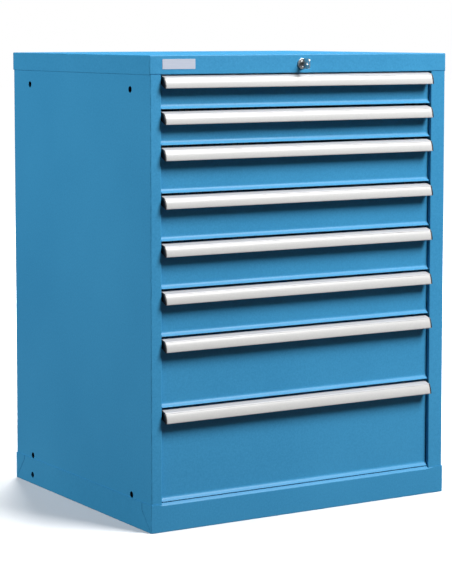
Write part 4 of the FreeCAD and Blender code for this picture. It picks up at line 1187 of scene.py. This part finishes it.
def turned(name, outline, closed=True):
    """A ring-shaped solid: the outline (y, radius) turned about the lock's axis."""
    angles = np.linspace(0, 2 * math.pi, TURN_STEPS, endpoint=False)
    y, radius = outline[:, 0], outline[:, 1]
    points = np.stack([
        LOCK_X + radius * np.cos(angles)[:, None], np.tile(y, (TURN_STEPS, 1)),
        LOCK_Z + radius * np.sin(angles)[:, None],
    ], -1)
    points = np.concatenate([points, points[:1]])
    if closed:
        points = np.concatenate([points, points[:, :1]], 1)
    return point_outwards(patches(name, points))


def cutter(mesh):
    """A body in the scene, and the Boolean modifier that cuts it out of another."""
    body = add_object(mesh.name, mesh)
    return body, ("BOOLEAN", {"object": body, "operation": "DIFFERENCE", "solver": "EXACT"})


ring = rounded_path([
    (RING_FRONT, BORE), (RING_FRONT, RING_RADIUS), (BODY_FRONT, RING_RADIUS),
    (BODY_FRONT, BARREL_RADIUS), (BARREL_END, BARREL_RADIUS), (BARREL_END, BORE),
], RING_EDGES, closed=True)
finish_piece(turned("lock_ring", ring), "cabinet", CHROME, ["lock_cylinder"])
plug = np.array([
    (PLUG_FACE, 0), (PLUG_FACE, PLUG_RADIUS - PLUG_EDGE),
    (PLUG_FACE + PLUG_EDGE_BACK, PLUG_RADIUS - PLUG_EDGE_IN), (PLUG_FACE + PLUG_EDGE, PLUG_RADIUS),
    (BARREL_END, PLUG_RADIUS), (BARREL_END, SPIGOT_RADIUS), (SPIGOT_END, SPIGOT_RADIUS), (SPIGOT_END, 0),
])
half_slot = (KEY_THICKNESS / 2 + KEYWAY_PLAY, BLADE_HALF + KEYWAY_PLAY)
slot_loop = np.array([(-1, -1), (1, -1), (1, 1), (-1, 1)]) * half_slot + (LOCK_X, LOCK_Z)
slot_ends = (PLUG_FACE - PUNCH_LEAD, PLUG_FACE + KEYWAY_DEPTH)
slot_mesh = prism("keyway_cutter", slot_loop, *slot_ends, lengthwise)
punch, keyway = cutter(slot_mesh)
plug_mesh = turned("lock_core", plug, closed=False)
finish_piece(plug_mesh, "lock_plug", CHROME, ["lock_plug"], [keyway])
bpy.data.objects.remove(punch)
print("ring and plug made")

# %% The key
KEY_LOW, KEY_HIGH = np.array(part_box("key"))
BOW_BACK = PLUG_FACE - 5 * MM
BOW_HALF = 11 * MM
BOW_RADII = [5.5 * MM, 2.5 * MM, 1 * MM, 1.5 * MM]
BOW_HOLE = 3 * MM
KEY_EDGE = 0.25 * MM
HOLE_SETBACK = 6 * MM
NECK = BOW_BACK + 1.2 * MM
half_bow = np.array([
    (KEY_LOW[1], BOW_HALF), (BOW_BACK, BOW_HALF), (NECK, BLADE_HALF), (KEY_HIGH[1], BLADE_HALF),
])
whole_bow = np.vstack([half_bow * (1, -1), half_bow[::-1]]) + (0, LOCK_Z)
bow = rounded_path(whole_bow, BOW_RADII + BOW_RADII[::-1], closed=True)
key_mesh = prism("flat_key", bow, LOCK_X - KEY_THICKNESS / 2, LOCK_X + KEY_THICKNESS / 2, across)
angles = np.linspace(0, 2 * math.pi, 40, endpoint=False)
circle = np.column_stack([np.cos(angles), np.sin(angles)]) * BOW_HOLE
hole_loop = circle + (KEY_LOW[1] + HOLE_SETBACK, LOCK_Z)
punch, hole = cutter(prism("bow_hole", hole_loop, LOCK_X - BOW_HOLE, LOCK_X + BOW_HOLE, across))
finish_piece(key_mesh, "lock_plug", NICKEL, ["key"], [hole, soft_edges(KEY_EDGE)])
bpy.data.objects.remove(punch)
print("key made")

# %% [markdown]
# The small plate on the cap is bare: a rounded rectangle of brushed metal that
# stands 0.45 mm proud of the cap. A patch of colour on the cap would have no edge
# to catch the light, so it is a solid, sunk a little into the sheet.

# %% The bare plate
PLATE_LEFT, PLATE_RIGHT = -351.9 * MM, -272.8 * MM
PLATE_FOOT, PLATE_TOP = 971 * MM, 992 * MM
PLATE_FRONT, PLATE_BACK = BODY_FRONT - 0.45 * MM, BODY_FRONT + 0.3 * MM
PLATE_RADIUS = 1.5 * MM
PLATE_EDGE = 0.2 * MM
plate_loop = rounded_path([
    (PLATE_LEFT, PLATE_FOOT), (PLATE_RIGHT, PLATE_FOOT),
    (PLATE_RIGHT, PLATE_TOP), (PLATE_LEFT, PLATE_TOP),
], [PLATE_RADIUS] * 4, closed=True)
plate_mesh = prism("bare_plate", plate_loop, PLATE_FRONT, PLATE_BACK, lengthwise)
finish_piece(plate_mesh, "cabinet", SILVER, (), [soft_edges(PLATE_EDGE)])

# %% [markdown]
# The photograph is a catalogue picture on white. The main light stands high in
# front, to the right of the camera: it whitens the tops of the handles and leaves
# the band under each of them nearly black. Softer lights fill the two sides and
# the rear; the left and the rear one leave no reflection. The floor is pale.

# %% The backdrop
scene = bpy.context.scene
scene.view_settings.view_transform = "Standard"
AMBIENT = 0.03
BACKDROP = 1.0
world = bpy.data.worlds.new("studio")
world.use_nodes = True
scene.world = world
backdrop = world.node_tree.nodes["Background"]
backdrop.inputs["Color"].default_value = (1.0, 1.0, 1.0, 1.0)
seen = node(world.node_tree, "ShaderNodeLightPath").outputs["Is Camera Ray"]
strength = ramp(world.node_tree, seen, 0.0, 1.0, AMBIENT, BACKDROP)
world.node_tree.links.new(strength, backdrop.inputs["Strength"])

# %% [markdown]
# The floor looks pale, and throws back less light than it shows, as a floor far
# from the lights would: a white floor would light the undersides of the handles.

# %% The floor
FLOOR_HALF = 30.0
FLOOR_SEEN = 0.93
FADE_START = 0.6
FADE_END = 3.0
FLOOR_BOUNCE = 0.05
floor_corners = [(x * FLOOR_HALF, y * FLOOR_HALF, 0) for x, y in ((-1, -1), (1, -1), (1, 1), (-1, 1))]
floor_mesh = bpy.data.meshes.new("studio_floor")
floor_mesh.from_pydata(floor_corners, [], [(0, 1, 2, 3)])
floor = add_object("studio_floor", floor_mesh)
floor_material, floor_tree, floor_shader = new_material("pale_floor", Roughness=0.7)
floor_seen = node(floor_tree, "ShaderNodeLightPath").outputs["Is Camera Ray"]
floor_tone = ramp(floor_tree, floor_seen, 0.0, 1.0, FLOOR_BOUNCE, FLOOR_SEEN)
floor_tree.links.new(floor_tone, floor_shader.inputs["Base Color"])
place = node(floor_tree, "ShaderNodeTexCoord").outputs["Object"]
away = node(floor_tree, "ShaderNodeVectorMath", {0: place}, operation="LENGTH").outputs["Value"]
fade = ramp(floor_tree, away, FADE_START, FADE_END, 0.0, 1.0)
glow = calculate(floor_tree, "MULTIPLY", fade, floor_seen)
floor_tree.links.new(glow, floor_shader.inputs["Emission Strength"])
floor_shader.inputs["Emission Color"].default_value = (1.0, 1.0, 1.0, 1.0)
floor_mesh.materials.append(floor_material)
floor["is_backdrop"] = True
print("floor and backdrop made")

# %% The lights
LIGHT_AIM = np.array([0.0, 0.0, 0.5])


def area_light(name, place, size, power, shines=True):
    """A square soft light, turned towards the cabinet. Without shines it leaves no reflection."""
    data = bpy.data.lights.new(name, "AREA")
    data.shape = "SQUARE"
    data.size = size
    data.energy = power
    light = add_object(name, data)
    forward = unit(LIGHT_AIM - np.array(place, float))
    yaw = math.atan2(-forward[0], forward[1])
    pitch = math.asin(forward[2])
    light.location = place
    light.rotation_euler = (math.pi / 2 + pitch, 0, yaw)
    light.visible_glossy = shines
    return light


# Each light: its place in metres, its side in metres and its power in watts.
area_light("front_light", (2.0, -3.35, 4.5), 2.4, 480)
area_light("left_light", (-4.8, 1.3, 2.8), 2.8, 250, False)
area_light("right_light", (4.8, 1.4, 2.4), 2.8, 140)
area_light("rear_light", (1.6, 3.4, 4.4), 1.8, 280, False)
print("lights:", len(bpy.data.lights))

# %% [markdown]
# The camera stands off to the left with a long lens, a little above the cabinet's
# top, and looks down by about 5 degrees. Its place, its turn and its lens were
# fitted to corners measured in the photograph. The small shift sets the cabinet
# in the picture: a level camera with a large one would cut it off in other views.

# %% The camera
CAMERA_PLACE = (-2.4471, -3.9743, 1.0510)
CAMERA_YAW = 0.5519
CAMERA_PITCH = 0.0852
SENSOR_WIDTH = 36
LENS = 125.64
SHIFT_UP = -0.15
FARTHEST = 100
camera_data = bpy.data.cameras.new("photo_camera")
camera_data.sensor_width = SENSOR_WIDTH
camera_data.lens = LENS
camera_data.shift_y = SHIFT_UP
camera = add_object("photo_camera", camera_data)
camera.location = CAMERA_PLACE
camera.rotation_euler = (math.pi / 2 - CAMERA_PITCH, 0, -CAMERA_YAW)
scene.camera = camera
camera_data.clip_end = FARTHEST
print("camera stands at", CAMERA_PLACE)


# %% [markdown]
# The new surfaces must not make the object bigger than the frame says. So the box
# of the whole object is measured again, and both boxes are set out as lists.

# %% Both boxes as lists
def as_lists(boxed):
    """A box of corners as plain lists of numbers."""
    if isinstance(boxed, dict):
        return {key: as_lists(part) for key, part in boxed.items()}
    if hasattr(boxed, "__len__") and not isinstance(boxed, str):
        return [as_lists(part) for part in boxed]
    return float(boxed) if isinstance(boxed, (int, float, np.floating)) else boxed


{"cad": as_lists(CAD_BOX), "final": as_lists(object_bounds())}
